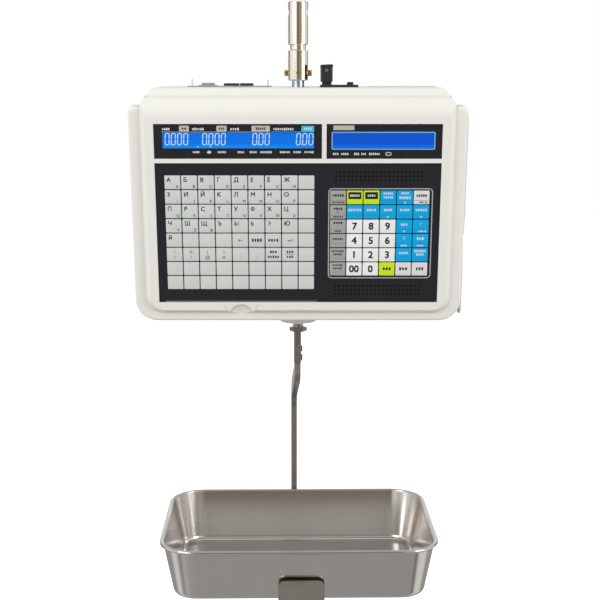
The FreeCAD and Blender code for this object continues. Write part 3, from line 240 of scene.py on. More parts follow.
WHITE = (1.0, 1.0, 1.0, 1.0)
MATERIALS = {
    # The casing's colour carries painted crease shade: ambient occlusion over 16 mm darkens it to 35 % in
    # corners and gaps.
    "casing": crease_shade(plastic("casing_plastic", rgb(234, 233, 227), 0.42, 0.012,
                                   Specular_IOR_Level=0.4), 0.016, 0.35),
    "panel_print": plastic("panel_film", rgb(30, 29, 35), 0.4, 0.08, 2600, 4e-6,
                           Specular_IOR_Level=0.3),
    "window": plastic("window_film", rgb(28, 29, 33), 0.24, 0.06, 900, 1e-6, Specular_IOR_Level=0.35),
    "lcd": backlight("lcd_price", rgb(0, 110, 222), rgb(0, 140, 244), 1.0),
    "key_face": plastic("speed_key_film", rgb(208, 212, 207), 0.5, 0.02, 2200, 3e-6),
    "number_face": plastic("number_key_film", rgb(238, 239, 236), 0.45, 0.015, 2200, 3e-6),
    "card": plastic("card_paper", rgb(222, 226, 228), 0.6, 0.03, 1200, 8e-6),
    "circuit_board": plastic("circuit_board", rgb(24, 84, 52), 0.35, 0.12, 700, 1.5e-5),
    "chip": plastic("chip_epoxy", rgb(30, 30, 32), 0.55, 0.1, 1400, 8e-6),
    "tray_steel": metal("tray_stainless", rgb(202, 198, 194), 0.2, (1, 9, 9), 420, 0.025, 1.2e-6,
                        0.045),
    "bar_steel": metal("bar_stainless", rgb(168, 163, 156), 0.34, (8, 8, 0.6), 420, 0.09, 5e-6),
    "tube_nickel": metal("tube_nickel", rgb(232, 226, 216), 0.12, (9, 9, 0.5), 500, 0.03, 1.2e-6,
                         0.03),
    "zinc": metal("blue_zinc", rgb(176, 198, 212), 0.26, (1, 1, 6), 700, 0.1, 4e-6),
    "brass": metal("brass", rgb(214, 170, 92), 0.26, (1, 4, 4), 600, 0.1, 4e-6),
    "cell_aluminium": metal("cell_aluminium", rgb(206, 208, 210), 0.38, (1, 8, 1), 600, 0.06, 4e-6),
    "frame_steel": metal("frame_steel", rgb(150, 154, 158), 0.42, (1, 1, 3), 400, 0.12, 5e-6),
    "spindle_steel": metal("spindle_steel", rgb(150, 144, 136), 0.3, (1, 1, 8), 700, 0.1, 4e-6),
    "pad_rubber": plastic("pad_rubber", rgb(40, 40, 41), 0.75, 0.15, 900, 2e-5),
    "black_plastic": plastic("black_plastic", rgb(34, 33, 33), 0.42, 0.15, 1400, 1.2e-5),
    "label_paper": plastic("label_paper", rgb(244, 243, 238), 0.7, 0.02, 1600, 8e-6),
    "hub_plastic": plastic("hub_plastic", rgb(60, 62, 66), 0.5, 0.1, 1400, 1e-5),
    "gear_plastic": plastic("gear_plastic", rgb(226, 222, 204), 0.45, 0.04, 1400, 6e-6),
    "roller_rubber": plastic("roller_rubber", rgb(36, 35, 35), 0.7, 0.12, 900, 1.5e-5),
    "head_ceramic": plastic("head_ceramic", rgb(196, 170, 118), 0.25, 0.08, 1400, 3e-6),
    "lever_green": plastic("lever_green", rgb(44, 150, 92), 0.42, 0.06, 1400, 6e-6),
    "motor_can": metal("motor_can", rgb(160, 160, 158), 0.36, (8, 1, 1), 500, 0.1, 4e-6),
    "supply_cover": metal("supply_cover", rgb(186, 190, 192), 0.4, (1, 6, 6), 400, 0.08, 5e-6),
    "socket_metal": metal("socket_metal", rgb(205, 206, 204), 0.32, (6, 1, 1), 600, 0.06, 4e-6),
}
MESSAGE_GLOW = backlight("lcd_message", rgb(0, 82, 200), rgb(0, 112, 228), 1.0)
DIGIT_GLOW = new_material("lcd_digit", Base_Color=rgb(90, 110, 130), Roughness=0.3,
                          Emission_Color=rgb(176, 206, 228), Emission_Strength=0.9)[0]
BLUE_KEY = plastic("blue_key_film", rgb(0, 168, 229), 0.45, 0.02, 2200, 3e-6, Specular_IOR_Level=0.2)
GREY_KEY = plastic("grey_key_film", rgb(164, 164, 161), 0.45, 0.02, 2200, 3e-6)
PALE_KEY = plastic("pale_key_film", rgb(222, 221, 222), 0.45, 0.015, 2200, 3e-6)
LIME_KEY = plastic("lime_key_film", rgb(202, 230, 40), 0.45, 0.02, 2200, 3e-6, Specular_IOR_Level=0.2)
DARK_INK = ink("dark_ink", rgb(34, 36, 40))
GREY_INK = ink("grey_ink", rgb(58, 66, 70))
BLUE_INK = ink("blue_ink", rgb(70, 142, 190))
WHITE_INK = ink("white_ink", rgb(214, 216, 218))
PALE_BOX_INK = ink("pale_box_ink", rgb(188, 186, 179))
CYAN_BOX_INK = ink("cyan_box_ink", rgb(52, 190, 222))
TAN_INK = ink("tan_ink", rgb(190, 164, 128))
SILVER_INK = ink("silver_ink", rgb(178, 179, 184), 0.3)
SKY_INK = ink("sky_ink", rgb(120, 178, 240), 0.3)
BLACK_INK = ink("black_ink", rgb(16, 16, 20), 0.3)
DEEP_BLUE_INK = ink("deep_blue_ink", rgb(0, 124, 186))

for node in NODES.values():
    slots = node.data.materials
    for index in range(len(slots)):
        slots[index] = MATERIALS[slots[index].name.split(".")[0]]


# --------------------------------------------------------------- mesh building
def rounded_rectangle(x, y, width, height, radius, steps=4):
    """Outline points, anticlockwise, of a rectangle centred on (x, y)."""
    points = []
    radius = max(min(radius, width / 2, height / 2), 0.01)
    corners = ((1, -1, -90), (1, 1, 0), (-1, 1, 90), (-1, -1, 180))
    for side, level, start in corners:
        centre = (x + side * (width / 2 - radius), y + level * (height / 2 - radius))
        for step in range(steps + 1):
            angle = math.radians(start + 90 * step / steps)
            points.append((centre[0] + radius * math.cos(angle),
                           centre[1] + radius * math.sin(angle)))
    return points


class Solids:
    """Closed solids drawn in a flat frame and gathered in one mesh."""

    def __init__(self):
        self.mesh = bmesh.new()

    def layers(self, rings):
        """Close a stack of rings, each a list of (x, y, z), with flat ends."""
        made = [[self.mesh.verts.new(point) for point in ring] for ring in rings]
        count = len(made[0])
        for low, high in zip(made, made[1:]):
            for n in range(count):
                following = (n + 1) % count
                self.mesh.faces.new((low[n], low[following], high[following], high[n]))
        self.mesh.faces.new(reversed(made[0]))
        self.mesh.faces.new(made[-1])

    def prism(self, points, low, high):
        """A straight-sided solid over an anticlockwise outline."""
        self.layers([[(x, y, z) for x, y in points] for z in (low, high)])

    def pad(self, x, y, width, height, radius, low, high, edge, steps=3):
        """A rounded rectangular pad whose top edge is turned over by edge."""
        profile = [(0, low)]
        for step in range(steps + 1):
            angle = math.pi / 2 * step / steps
            profile.append((edge * (1 - math.cos(angle)), high - edge * (1 - math.sin(angle))))
        self.layers([[(px, py, z) for px, py in
                      rounded_rectangle(x, y, width - 2 * inset, height - 2 * inset, radius - inset)]
                     for inset, z in profile])

    def frame(self, outer, inner, low, high):
        """A flat ring between two outlines with equal counts of points."""
        rows = [[(x, y, z) for x, y in outline]
                for outline, z in ((outer, low), (outer, high), (inner, high), (inner, low))]
        made = [[self.mesh.verts.new(point) for point in row] for row in rows]
        count = len(outer)
        for first, second in zip(made, made[1:] + made[:1]):
            for n in range(count):
                following = (n + 1) % count
                self.mesh.faces.new((first[n], first[following], second[following], second[n]))

    def text(self, letters, x, y, height, low, high, weight=0.0, align="CENTER"):
        """Letters or digits of a cap height, on (x, y) as their middle or left edge.

        Weight makes them bolder: copies are shifted by it to either side.
        """
        curve = bpy.data.curves.new("letters", "FONT")
        curve.body = letters
        curve.size = height / 0.7
        curve.align_x = align
        curve.extrude = (high - low) / 2
        curve.resolution_u = 3
        holder = bpy.data.objects.new("letters", curve)
        bpy.context.scene.collection.objects.link(holder)
        bpy.context.view_layer.update()
        depsgraph = bpy.context.evaluated_depsgraph_get()
        mesh = bpy.data.meshes.new_from_object(holder.evaluated_get(depsgraph))
        places = [(x + dx, y + dy) for dx in (-weight, weight) for dy in (-weight, weight)]
        last = Vector((0, 0, 0))
        for place in places if weight else [(x, y)]:
            here = Vector((place[0], place[1] - height / 2, (low + high) / 2))
            mesh.transform(Matrix.Translation(here - last))
            last = here
            self.mesh.from_mesh(mesh)
        bpy.data.objects.remove(holder)
        bpy.data.curves.remove(curve)
        bpy.data.meshes.remove(mesh)

    def word(self, x, y, width, height, low, high, seed):
        """A plain row of small blocks that stands for a printed word."""
        chance = random.Random(seed)
        pitch = height * 0.82
        count = max(2, round(width / pitch))
        pitch = width / count
        for n in range(count):
            block = pitch * chance.uniform(0.62, 0.78)
            tall = height * chance.choice((0.78, 0.9, 1.0))
            self.prism(rounded_rectangle(x - width / 2 + pitch * (n + 0.5), y, block, tall,
                                         height * 0.16, 2), low, high)

    def piece(self, name, material, slot, body="head", place=PANEL):
        """The gathered solids as one object that rides on a body."""
        bmesh.ops.transform(self.mesh, matrix=place, verts=self.mesh.verts)
        bmesh.ops.recalc_face_normals(self.mesh, faces=self.mesh.faces)
        data = bpy.data.meshes.new(name)
        self.mesh.to_mesh(data)
        self.mesh.free()
        data.materials.append(material)
        made = bpy.data.objects.new(name, data)
        bpy.context.scene.collection.objects.link(made)
        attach(made, body)
        return made


def shade_by_angle(made, degrees=35):
    """Smooth shading that stays sharp across edges steeper than the angle."""
    for polygon in made.data.polygons:
        polygon.use_smooth = True
    made.data.set_sharp_from_angle(angle=math.radians(degrees))
    return made


# ------------------------------------------------------------- display windows
LEFT_WINDOW_X = (window_low.x / MM, window_high.x / MM)
right_low, right_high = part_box("right_display_window")
RIGHT_WINDOW_X = (right_low.x / MM, right_high.x / MM)
LEFT_APERTURE = ((-169.2, 20.0), (-31.1, -10.6))
RIGHT_APERTURE = ((43.5, 169.7), (-31.0, -11.6))
WINDOW_Y = (-DISPLAY_HEIGHT + FIT_GAP, -FIT_GAP)


def window(name, node, x, aperture):
    """The printed window film with its clear opening cut out."""
    solids = Solids()
    (left, right), (bottom, top) = aperture
    outer = rounded_rectangle(sum(x) / 2, sum(WINDOW_Y) / 2, x[1] - x[0],
                              WINDOW_Y[1] - WINDOW_Y[0], WINDOW_CORNER)
    inner = rounded_rectangle((left + right) / 2, (bottom + top) / 2, right - left,
                              top - bottom, APERTURE_CORNER)
    solids.frame(outer, inner, WINDOW_FACE - WINDOW_THICKNESS, WINDOW_FACE)
    made = solids.piece(name, MATERIALS["window"], "window")
    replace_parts(made, node)
    bevel = made.modifiers.new("edge", "BEVEL")
    bevel.width = 0.25 * MM
    bevel.segments = 2
    bevel.limit_method = "ANGLE"
    return made


def lcd(name, node, aperture, material):
    """The lit glass layer behind a window."""
    solids = Solids()
    (left, right), (bottom, top) = aperture
    solids.pad((left + right) / 2, (bottom + top) / 2, right - left + 2 * GLASS_MARGIN,
               top - bottom + 2 * GLASS_MARGIN, 1.0, LCD_BACK, LCD_FACE, 0.3)
    made = solids.piece(name, material, "lcd")
    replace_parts(made, node)
    return made


window("price_window", "left_display_window", LEFT_WINDOW_X, LEFT_APERTURE)
window("message_window", "right_display_window", RIGHT_WINDOW_X, RIGHT_APERTURE)
lcd("price_display", "price_lcd", LEFT_APERTURE, MATERIALS["lcd"])
lcd("message_display", "message_lcd", RIGHT_APERTURE, MESSAGE_GLOW)

DIGIT_WIDTH = 6.1
DIGIT_HEIGHT = 15.4
DIGIT_PITCH = 7.75
DIGIT_MIDDLE = -19.7
DIGIT_STROKE = 1.25
DIGIT_SLANT = math.tan(math.radians(3.0))
ZERO_SEGMENTS = "abcdef"
POINT_SIZE = 1.1
UNIT_POINTERS_X = (-124.9, -109.3)
# Left edge, count of digits and the digit that the point follows, for each value.
READOUTS = ((-166.3, 4, 1), (-119.5, 4, 1), (-57.0, 3, 1), (-2.4, 3, 1))


def segment_outline(letter, left, middle):
    """One bar of a seven-segment digit as an anticlockwise outline."""
    half = DIGIT_STROKE / 2
    wide = DIGIT_WIDTH / 2 - half
    tall = DIGIT_HEIGHT / 2 - half
    centre = left + DIGIT_WIDTH / 2
    gap = 0.22
    level = {"a": tall, "d": -tall}
    if letter in level:
        y = level[letter]
        run = wide - gap
        points = [(centre - run, y), (centre - run + half, y - half), (centre + run - half, y - half),
                  (centre + run, y), (centre + run - half, y + half), (centre - run + half, y + half)]
    else:
        x = centre + (wide if letter in "bc" else -wide)
        low, high = ((gap, tall - gap) if letter in "bf" else (gap - tall, -gap))
        points = [(x, low), (x + half, low + half), (x + half, high - half),
                  (x, high), (x - half, high - half), (x - half, low + half)]
    return [(x + DIGIT_SLANT * y, middle + y) for x, y in points]


digits = Solids()
for left, count, point_after in READOUTS:
    for n in range(count):
        for letter in ZERO_SEGMENTS:
            digits.prism(segment_outline(letter, left + n * DIGIT_PITCH, DIGIT_MIDDLE),
                         LCD_FACE, LCD_FACE + PRINT)
    digits.prism(rounded_rectangle(left + point_after * DIGIT_PITCH - 0.85,
                                   DIGIT_MIDDLE - DIGIT_HEIGHT / 2 + 0.8, POINT_SIZE, POINT_SIZE, 0.4, 3),
                 LCD_FACE, LCD_FACE + PRINT)
for x in UNIT_POINTERS_X:
    digits.prism([(x - 1.5, -29.6), (x + 1.5, -29.6), (x, -28.2)], LCD_FACE, LCD_FACE + PRINT)
digits.piece("price_digits", DIGIT_GLOW, "lcd")

label_low, label_high = WINDOW_FACE, WINDOW_FACE + PRINT
UNIT_BOXES = ((-147.9, -135.6), (-101.5, -88.6), (-57.8, -34.9))
UNIT_BOX_Y = (-9.6, -2.4)
CURRENCY_BOX = (4.3, 20.0)
TITLE_WORDS = ((-169.3, -159.4), (-131.9, -116.9), (-84.6, -73.0), (-31.0, -5.2))
STATUS_WORDS = ((-131.7, -122.8), (-100.7, -89.6), (-75.7, -67.1), (-60.7, -51.4),
                (-47.8, -32.6), (-22.8, -10.0), (-6.0, 3.9), (7.5, 19.8))
CAPACITY_WORDS = ((43.4, 51.0), (53.6, 63.6), (69.9, 76.6), (78.8, 85.2), (88.5, 102.6))
TITLE_Y, STATUS_Y, CAPACITY_Y = -6.7, -35.7, -38.0
RULES = ((-170.3, -135.2), (-133.9, -88.5), (-87.1, -34.9))
RULE_Y = -10.05
CURRENCY_RULE = (-14.8, -10.0, 38.0)
NAME_BOX = (57.0, -5.0, 26.2, 5.7)
MESSAGE_FRAME = (106.6, -21.3, 129.4, 22.6)
MESSAGE_LINE = 1.4
THIN_EDGE = 0.03

boxes = Solids()
for left, right in UNIT_BOXES:
    boxes.pad((left + right) / 2, sum(UNIT_BOX_Y) / 2, right - left, UNIT_BOX_Y[1] - UNIT_BOX_Y[0],
              1.2, label_low, label_high, THIN_EDGE, 1)
boxes.pad(*NAME_BOX, 0.5, label_low, label_high, THIN_EDGE, 1)
boxes.piece("window_label_boxes", PALE_BOX_INK, "window")

currency = Solids()
currency.pad(sum(CURRENCY_BOX) / 2, -6.3, CURRENCY_BOX[1] - CURRENCY_BOX[0], 7.4, 0.4,
             label_low, label_high, THIN_EDGE, 1)
currency.prism(rounded_rectangle(*CURRENCY_RULE, 0.5, 0.1, 1), label_low, label_high)
currency.piece("window_currency_box", CYAN_BOX_INK, "window")

rules = Solids()
for left, right in RULES:
    rules.prism(rounded_rectangle((left + right) / 2, RULE_Y, right - left, 0.55, 0.1, 1),
                label_low, label_high)
rules.piece("window_rules", TAN_INK, "window")

box_marks = Solids()
for left, right in UNIT_BOXES:
    box_marks.word((left + right) / 2, -6.0, (right - left) * 0.55, 3.4, label_high,
                   label_high + PRINT, left)
box_marks.piece("window_box_marks", GREY_INK, "window")

marks = Solids()
for left, right in TITLE_WORDS:
    marks.word((left + right) / 2, TITLE_Y, right - left, 3.3, label_low, label_high, left)
for left, right in STATUS_WORDS:
    marks.word((left + right) / 2, STATUS_Y, right - left, 2.8, label_low, label_high, left)
marks.word(sum(CURRENCY_BOX) / 2, -6.2, 10.5, 3.6, label_high, label_high + PRINT, 7)
marks.prism([(-114.4, -35.8), (-111.2, -38.0), (-108.0, -35.8), (-111.2, -33.6)], label_low, label_high)
for left, right in CAPACITY_WORDS:
    marks.word((left + right) / 2, CAPACITY_Y, right - left, 3.0, label_low, label_high, left)
marks.frame(rounded_rectangle(113.1, CAPACITY_Y, 7.6, 4.6, 2.3, 6),
            rounded_rectangle(113.1, CAPACITY_Y, 5.6, 2.8, 1.4, 6), label_low, label_high)
marks.piece("window_marks", WHITE_INK, "window")

outline = Solids()
x, y, width, height = MESSAGE_FRAME
outline.frame(rounded_rectangle(x, y, width, height, 2.0),
              rounded_rectangle(x, y, width - 2 * MESSAGE_LINE, height - 2 * MESSAGE_LINE, 1.0),
              label_low, label_high)
outline.piece("message_outline", SKY_INK, "window")

# ------------------------------------------------------------------- key pads
PITCH_X, PITCH_Y = 21.1, 18.9
KEY_GAP = 1.3
KEY_RADIUS = 0.9
KEY_EDGE = 0.32
SPEED_ORIGIN = (-168.1, -65.4)
NUMBER_ORIGIN = (40.8, -84.9)
SPEED_COLUMNS, SPEED_ROWS = 9, 8
print_low, print_high = KEY_FACE, KEY_FACE + PRINT


def key_centre(origin, column, row):
    """The middle of a key, counting columns and rows from its block's top left."""
    return (origin[0] + PITCH_X * column + (PITCH_X - KEY_GAP) / 2,
            origin[1] - PITCH_Y * row - (PITCH_Y - KEY_GAP) / 2)


def add_key(solids, centre):
    """A key pad with a turned-over edge, on the keyboard's film."""
    solids.pad(*centre, PITCH_X - KEY_GAP, PITCH_Y - KEY_GAP, KEY_RADIUS, OVERLAY_FACE, KEY_FACE,
               KEY_EDGE)


speed_keys = Solids()
for row in range(SPEED_ROWS):
    for column in range(SPEED_COLUMNS):
        add_key(speed_keys, key_centre(SPEED_ORIGIN, column, row))
made = speed_keys.piece("speed_keys", MATERIALS["key_face"], "key_face")
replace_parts(shade_by_angle(made), "speed_key_pads")

CAPITALS = ("AБBГДEËЖ", "3ИЙKЛMHO", "ПPCTУФXЦ", "ЧШЩЪЫЬЭЮ", "Я")
CAPITAL_HEIGHT = 5.6
CAPITAL_SPOT = (-7.4, 3.4)
SMALL_HEIGHT = 3.9
SMALL_SPOT = (5.9, -5.4)
SIGN_HEIGHT = 4.4
SIGN_RISE = 3.6
NUMBER_HEIGHT = 8.8
CAPITAL_BOLD, SMALL_BOLD, NUMBER_BOLD = 0.16, 0.09, 0.34
SMALL_LETTERS = ("ABCDEFGH", "IJKLMNOP", "QRSTUVWX", "YZ&")
SIGNS = (("/", "?"), ("%", "!"), ("(", "@"), (")", "#"), (",", ":"), (".", ";"))

capitals = Solids()


def add_capital(letter, left, middle):
    """A capital by its left edge; some are put together from simpler shapes."""
    def plain(shape, shift=0.0, height=CAPITAL_HEIGHT):
        capitals.text(shape, left + shift, middle, height, print_low, print_high, CAPITAL_BOLD, "LEFT")

    def bar(shift, rise, width, height):
        capitals.prism(rounded_rectangle(left + shift, middle + rise, width, height, 0.1, 1),
                       print_low, print_high)

    if letter == "Ф":
        plain("O", 0.0, 4.5)
        bar(2.55, 0.0, 0.8, CAPITAL_HEIGHT + 0.4)
    elif letter in "ЪЫЬ":
        plain("b", 0.9 if letter == "Ъ" else 0.0)
        if letter == "Ъ":
            bar(0.7, CAPITAL_HEIGHT / 2 - 0.35, 1.7, 0.7)
        if letter == "Ы":
            bar(5.6, 0.0, 0.8, CAPITAL_HEIGHT)
    elif letter == "Э":
        for top in (1, -1):
            bar(1.5, top * (CAPITAL_HEIGHT / 2 - 0.35), 2.6, 0.7)
            bar(3.3, top * 1.75, 0.8, 1.5)
        bar(2.4, 0.0, 2.4, 0.7)
        bar(3.8, 0.0, 0.8, 2.6)
    else:
        plain(letter)


for row, letters in enumerate(CAPITALS):
    for column, letter in enumerate(letters):
        x, y = key_centre(SPEED_ORIGIN, column, row)
        add_capital(letter, x + CAPITAL_SPOT[0], y + CAPITAL_SPOT[1])
for column, (upper, lower) in enumerate(SIGNS):
    x, y = key_centre(SPEED_ORIGIN, column, 5)
    capitals.text(upper, x, y + SIGN_RISE, SIGN_HEIGHT, print_low, print_high)
    capitals.text(lower, x, y - SIGN_RISE, SIGN_HEIGHT, print_low, print_high)
for column in (5, 6):
    x, y = key_centre(SPEED_ORIGIN, column, 4)
    capitals.word(x, y, 14.0, 4.2, print_low, print_high, column)
for column, lines in ((6, (9.5, 15.0)), (7, (9.5, 9.0))):
    x, y = key_centre(SPEED_ORIGIN, column, 5)
    for level, width in zip((3.4, -3.2), lines):
        capitals.word(x, y + level, width, 3.6, print_low, print_high, column + level)
x, y = key_centre(SPEED_ORIGIN, 7, 5)
capitals.prism(rounded_rectangle(x, y + 0.1, 10.5, 0.5, 0.1, 1), print_low, print_high)
x, y = key_centre(SPEED_ORIGIN, 4, 4)
capitals.prism([(x - 3.6, y), (x - 0.8, y - 1.3), (x - 0.8, y + 1.3)], print_low, print_high)
capitals.prism(rounded_rectangle(x + 1.2, y, 4.2, 0.6, 0.1, 1), print_low, print_high)
x, y = key_centre(SPEED_ORIGIN, 7, 4)
capitals.prism([(x - 3.4, y - 0.6), (x - 0.6, y - 1.9), (x - 0.6, y + 0.7)], print_low, print_high)
capitals.prism(rounded_rectangle(x + 1.4, y - 0.6, 4.2, 0.6, 0.1, 1), print_low, print_high)
capitals.prism(rounded_rectangle(x + 3.3, y + 0.9, 0.6, 2.6, 0.1, 1), print_low, print_high)
capitals.piece("speed_key_letters", GREY_INK, "key_face")

small_letters = Solids()
for row, letters in enumerate(SMALL_LETTERS):
    for column, letter in enumerate(letters):
        x, y = key_centre(SPEED_ORIGIN, column, row)
        small_letters.text(letter, x + SMALL_SPOT[0], y + SMALL_SPOT[1], SMALL_HEIGHT,
                           print_low, print_high, SMALL_BOLD)
small_letters.piece("speed_key_small_letters", BLUE_INK, "key_face")

# The number block, row by row: grey, lime-framed, blue, pale, white or lime keys.
NUMBER_ROWS = ("gllbbp", "gbbbbb", "gwwwbb", "gwwwbb", "gwwwbb", "gwwLpp")
DIGIT_KEYS = {(1, 2): "7", (2, 2): "8", (3, 2): "9", (1, 3): "4", (2, 3): "5", (3, 3): "6",
              (1, 4): "1", (2, 4): "2", (3, 4): "3", (1, 5): "00", (2, 5): "0"}
KEY_FILMS = {"g": ("grey_keys", GREY_KEY), "l": ("framed_keys", LIME_KEY), "b": ("blue_keys", BLUE_KEY),
             "p": ("pale_keys", PALE_KEY), "w": ("digit_keys", MATERIALS["number_face"]),
             "L": ("clear_key", LIME_KEY)}
DIVIDER_DROP = 4.0
number_keys = [(column, row, NUMBER_ROWS[row][column]) for row in range(6) for column in range(6)]
for code, (name, film) in KEY_FILMS.items():
    solids = Solids()
    for column, row, kind in number_keys:
        if kind == code:
            add_key(solids, key_centre(NUMBER_ORIGIN, column, row))
    made = solids.piece(name, film, "number_face")
    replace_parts(shade_by_angle(made), "numeric_key_pads")

black_faces = Solids()
dividers = {"g": Solids(), "b": Solids()}
for column, row, kind in number_keys:
    x, y = key_centre(NUMBER_ORIGIN, column, row)
    if kind == "l":
        black_faces.prism(rounded_rectangle(x, y + 2.4, 16.2, 9.0, 0.4, 2), print_low, print_high)
    divided = row < 5 or column == 0
    if kind == "p" and row == 0:
        kind = "g"
    if kind in dividers and divided:
        dividers[kind].prism(rounded_rectangle(x, y - DIVIDER_DROP, 19.2, 0.45, 0.1, 1),
                             print_low, print_high)
black_faces.piece("framed_key_faces", BLACK_INK, "number_face")
dividers["g"].piece("grey_key_dividers", ink("divider_grey", rgb(120, 120, 118)), "number_face")
dividers["b"].piece("blue_key_dividers", DEEP_BLUE_INK, "number_face")

digit_print = Solids()
for (column, row), letters in DIGIT_KEYS.items():
    x, y = key_centre(NUMBER_ORIGIN, column, row)
    digit_print.text(letters, x, y + 0.4, NUMBER_HEIGHT, print_low, print_high, NUMBER_BOLD)
    if letters == "1":
        digit_print.prism([(x - 2.3, y + 2.5), (x, y + 3.7), (x, y + 4.8), (x - 2.3, y + 3.4)],
                          print_low, print_high)
digit_print.piece("digit_print", DARK_INK, "number_face")

# Words on the function keys: (column, row, middle height, width, letter height).
GREY_WORDS = ((0, 0, 2.6, 15.0, 3.6), (0, 0, -6.3, 16.0, 2.0), (0, 1, 4.2, 12.0, 3.6),
              (0, 1, -6.3, 12.5, 2.4), (0, 2, 4.6, 12.0, 3.4), (0, 2, -6.3, 9.0, 2.2),
              (0, 3, 2.2, 13.5, 2.8), (0, 4, 5.0, 15.5, 2.6), (0, 4, 0.8, 11.5, 2.8),
              (0, 5, 5.2, 13.0, 2.6), (0, 5, 1.0, 11.5, 2.8), (5, 0, 2.4, 14.0, 3.6),
              (5, 0, -6.2, 5.5, 2.2), (3, 5, 0.4, 11.5, 4.2), (4, 5, 0.4, 11.5, 4.2),
              (5, 5, 0.4, 10.5, 4.2))
PALE_WORDS = ((1, 0, 2.4, 12.5, 3.2), (2, 0, 2.4, 10.5, 3.2), (3, 0, 5.2, 12.5, 3.0),
              (3, 0, 0.2, 12.5, 3.0), (4, 0, 5.4, 10.0, 2.8), (4, 0, -0.4, 15.0, 3.4),
              (1, 1, 2.6, 17.0, 3.4), (2, 1, 2.6, 12.5, 3.4), (3, 1, 2.6, 11.0, 3.4),
              (4, 1, 2.6, 12.5, 3.4), (5, 1, 2.6, 15.0, 3.4), (4, 2, 2.4, 9.0, 3.4),
              (5, 2, -6.4, 7.0, 2.2), (5, 3, 2.8, 9.5, 3.8), (4, 3, -6.4, 8.5, 2.4),
              (5, 3, -6.4, 9.0, 2.4), (4, 4, 2.6, 12.5, 3.4), (5, 4, 5.2, 15.5, 3.4),
              (5, 4, 0.6, 10.0, 3.4))


def print_words(words, name, material):
    """Word blocks on function keys, with the name and ink of their piece."""
    solids = Solids()
    for column, row, level, width, height in words:
        x, y = key_centre(NUMBER_ORIGIN, column, row)
        top = print_high + (PRINT if row == 0 and column in (1, 2) else 0)
        solids.word(x, y + level, width, height, top - PRINT, top, column * 7 + row + level)
    return solids, name, material


def arrow(solids, column, row, dx, dy, turn):
    """A small triangle on a key's lower band; turn 0 points right, 90 up."""
    x, y = key_centre(NUMBER_ORIGIN, column, row)
    points = [(x + dx + 1.8 * math.cos(math.radians(turn + part)),
               y + dy + 1.8 * math.sin(math.radians(turn + part))) for part in (0, 120, 240)]
    solids.prism(points, print_low, print_high)


dark_words, *dark_rest = print_words(GREY_WORDS, "dark_key_words", DARK_INK)
arrow(dark_words, 5, 0, 5.6, -6.4, 90)
dark_words.text("%", *key_centre(NUMBER_ORIGIN, 0, 1), 3.2, print_low, print_high)
dark_words.text("+", *key_centre(NUMBER_ORIGIN, 0, 2), 3.2, print_low, print_high)
dark_words.piece(*dark_rest, "number_face")

pale_words, *pale_rest = print_words(PALE_WORDS, "pale_key_words", WHITE_INK)
for column, row, dx, turn in ((4, 0, 0, 90), (3, 1, 0, 180), (5, 1, 0, 0), (4, 2, 0, -90), (5, 2, 5.8, -90)):
    arrow(pale_words, column, row, dx, -6.5, turn)
for letters, column, row in (("+", 5, 2), ("×", 4, 3)):
    x, y = key_centre(NUMBER_ORIGIN, column, row)
    pale_words.text(letters, x, y + 3.6, 6.0, print_low, print_high, 0.1)
pale_words.piece(*pale_rest, "number_face")

# --------------------------------------------------- print on the panel's film, and a painted highlight at the card slot
FRAME_X = (38.4, 170.5)
FRAME_Y = (-200.7, -81.9)
FRAME_LINE = 1.2
film_low, film_high = OVERLAY_FACE, OVERLAY_FACE + PRINT
block_frame = Solids()
middle = (sum(FRAME_X) / 2, sum(FRAME_Y) / 2)
size = (FRAME_X[1] - FRAME_X[0], FRAME_Y[1] - FRAME_Y[0])
block_frame.frame(rounded_rectangle(*middle, *size, 5.0, 6),
                  rounded_rectangle(*middle, size[0] - 2 * FRAME_LINE, size[1] - 2 * FRAME_LINE,
                                    5.0 - FRAME_LINE, 6), film_low, film_high)
block_frame.piece("number_block_outline", SILVER_INK, "panel_print")

DOT_COLUMNS = 22
DOT_FIRST_X = 48.0
DOT_PITCH = (5.15, 5.2)
DOT_DIAMETER = 2.0
DOT_TOPS = (-61.6, -211.2)
DOT_ROWS = 3
SLOT_HIGHLIGHT = (-73.5, -231.2, 195.0, 2.2)
dots = Solids()
for top in DOT_TOPS:
    for row in range(DOT_ROWS):
        for column in range(DOT_COLUMNS):
            dots.prism(rounded_rectangle(DOT_FIRST_X + DOT_PITCH[0] * column, top - DOT_PITCH[1] * row,
                                         DOT_DIAMETER, DOT_DIAMETER, DOT_DIAMETER / 2, 3),
                       film_low, film_high)
dots.piece("panel_dots", ink("dot_ink", rgb(4, 4, 6), 0.7, Specular_IOR_Level=0.0), "panel_print")

# Painted highlight: a lighter, glossier strip along the clear key sheet's edge at the card slot stands for
# the light caught by that edge.
highlight_strip = Solids()
highlight_strip.pad(*SLOT_HIGHLIGHT, 0.3, film_low, film_high, THIN_EDGE, 1)
highlight_strip.piece("card_slot_highlight", ink("slot_strip", rgb(60, 64, 74), 0.3), "panel_print")

# ------------------------------------------------------ camera, light and floor
CAMERA_PLACE = (0.0025, -1.7017, -0.0999)
CAMERA_DIP = 9.3
camera_data = bpy.data.cameras.new("camera")
camera_data.lens = 76.8
camera_data.sensor_width = 36.0
camera = bpy.data.objects.new("camera", camera_data)
bpy.context.scene.collection.objects.link(camera)
camera.location = CAMERA_PLACE
camera.rotation_euler = (math.radians(90 - CAMERA_DIP), 0, 0)
bpy.context.scene.camera = camera


def soft_light(name, place, target, size, power):
    """A large rectangular studio light that points at a target."""
    data = bpy.data.lights.new(name, "AREA")
    data.shape = "RECTANGLE"
    data.size, data.size_y = size
    data.energy = power
    lamp = bpy.data.objects.new(name, data)
    bpy.context.scene.collection.objects.link(lamp)
    lamp.location = place
    aim = Vector(target) - Vector(place)
    lamp.rotation_euler = aim.to_track_quat("-Z", "Y").to_euler()


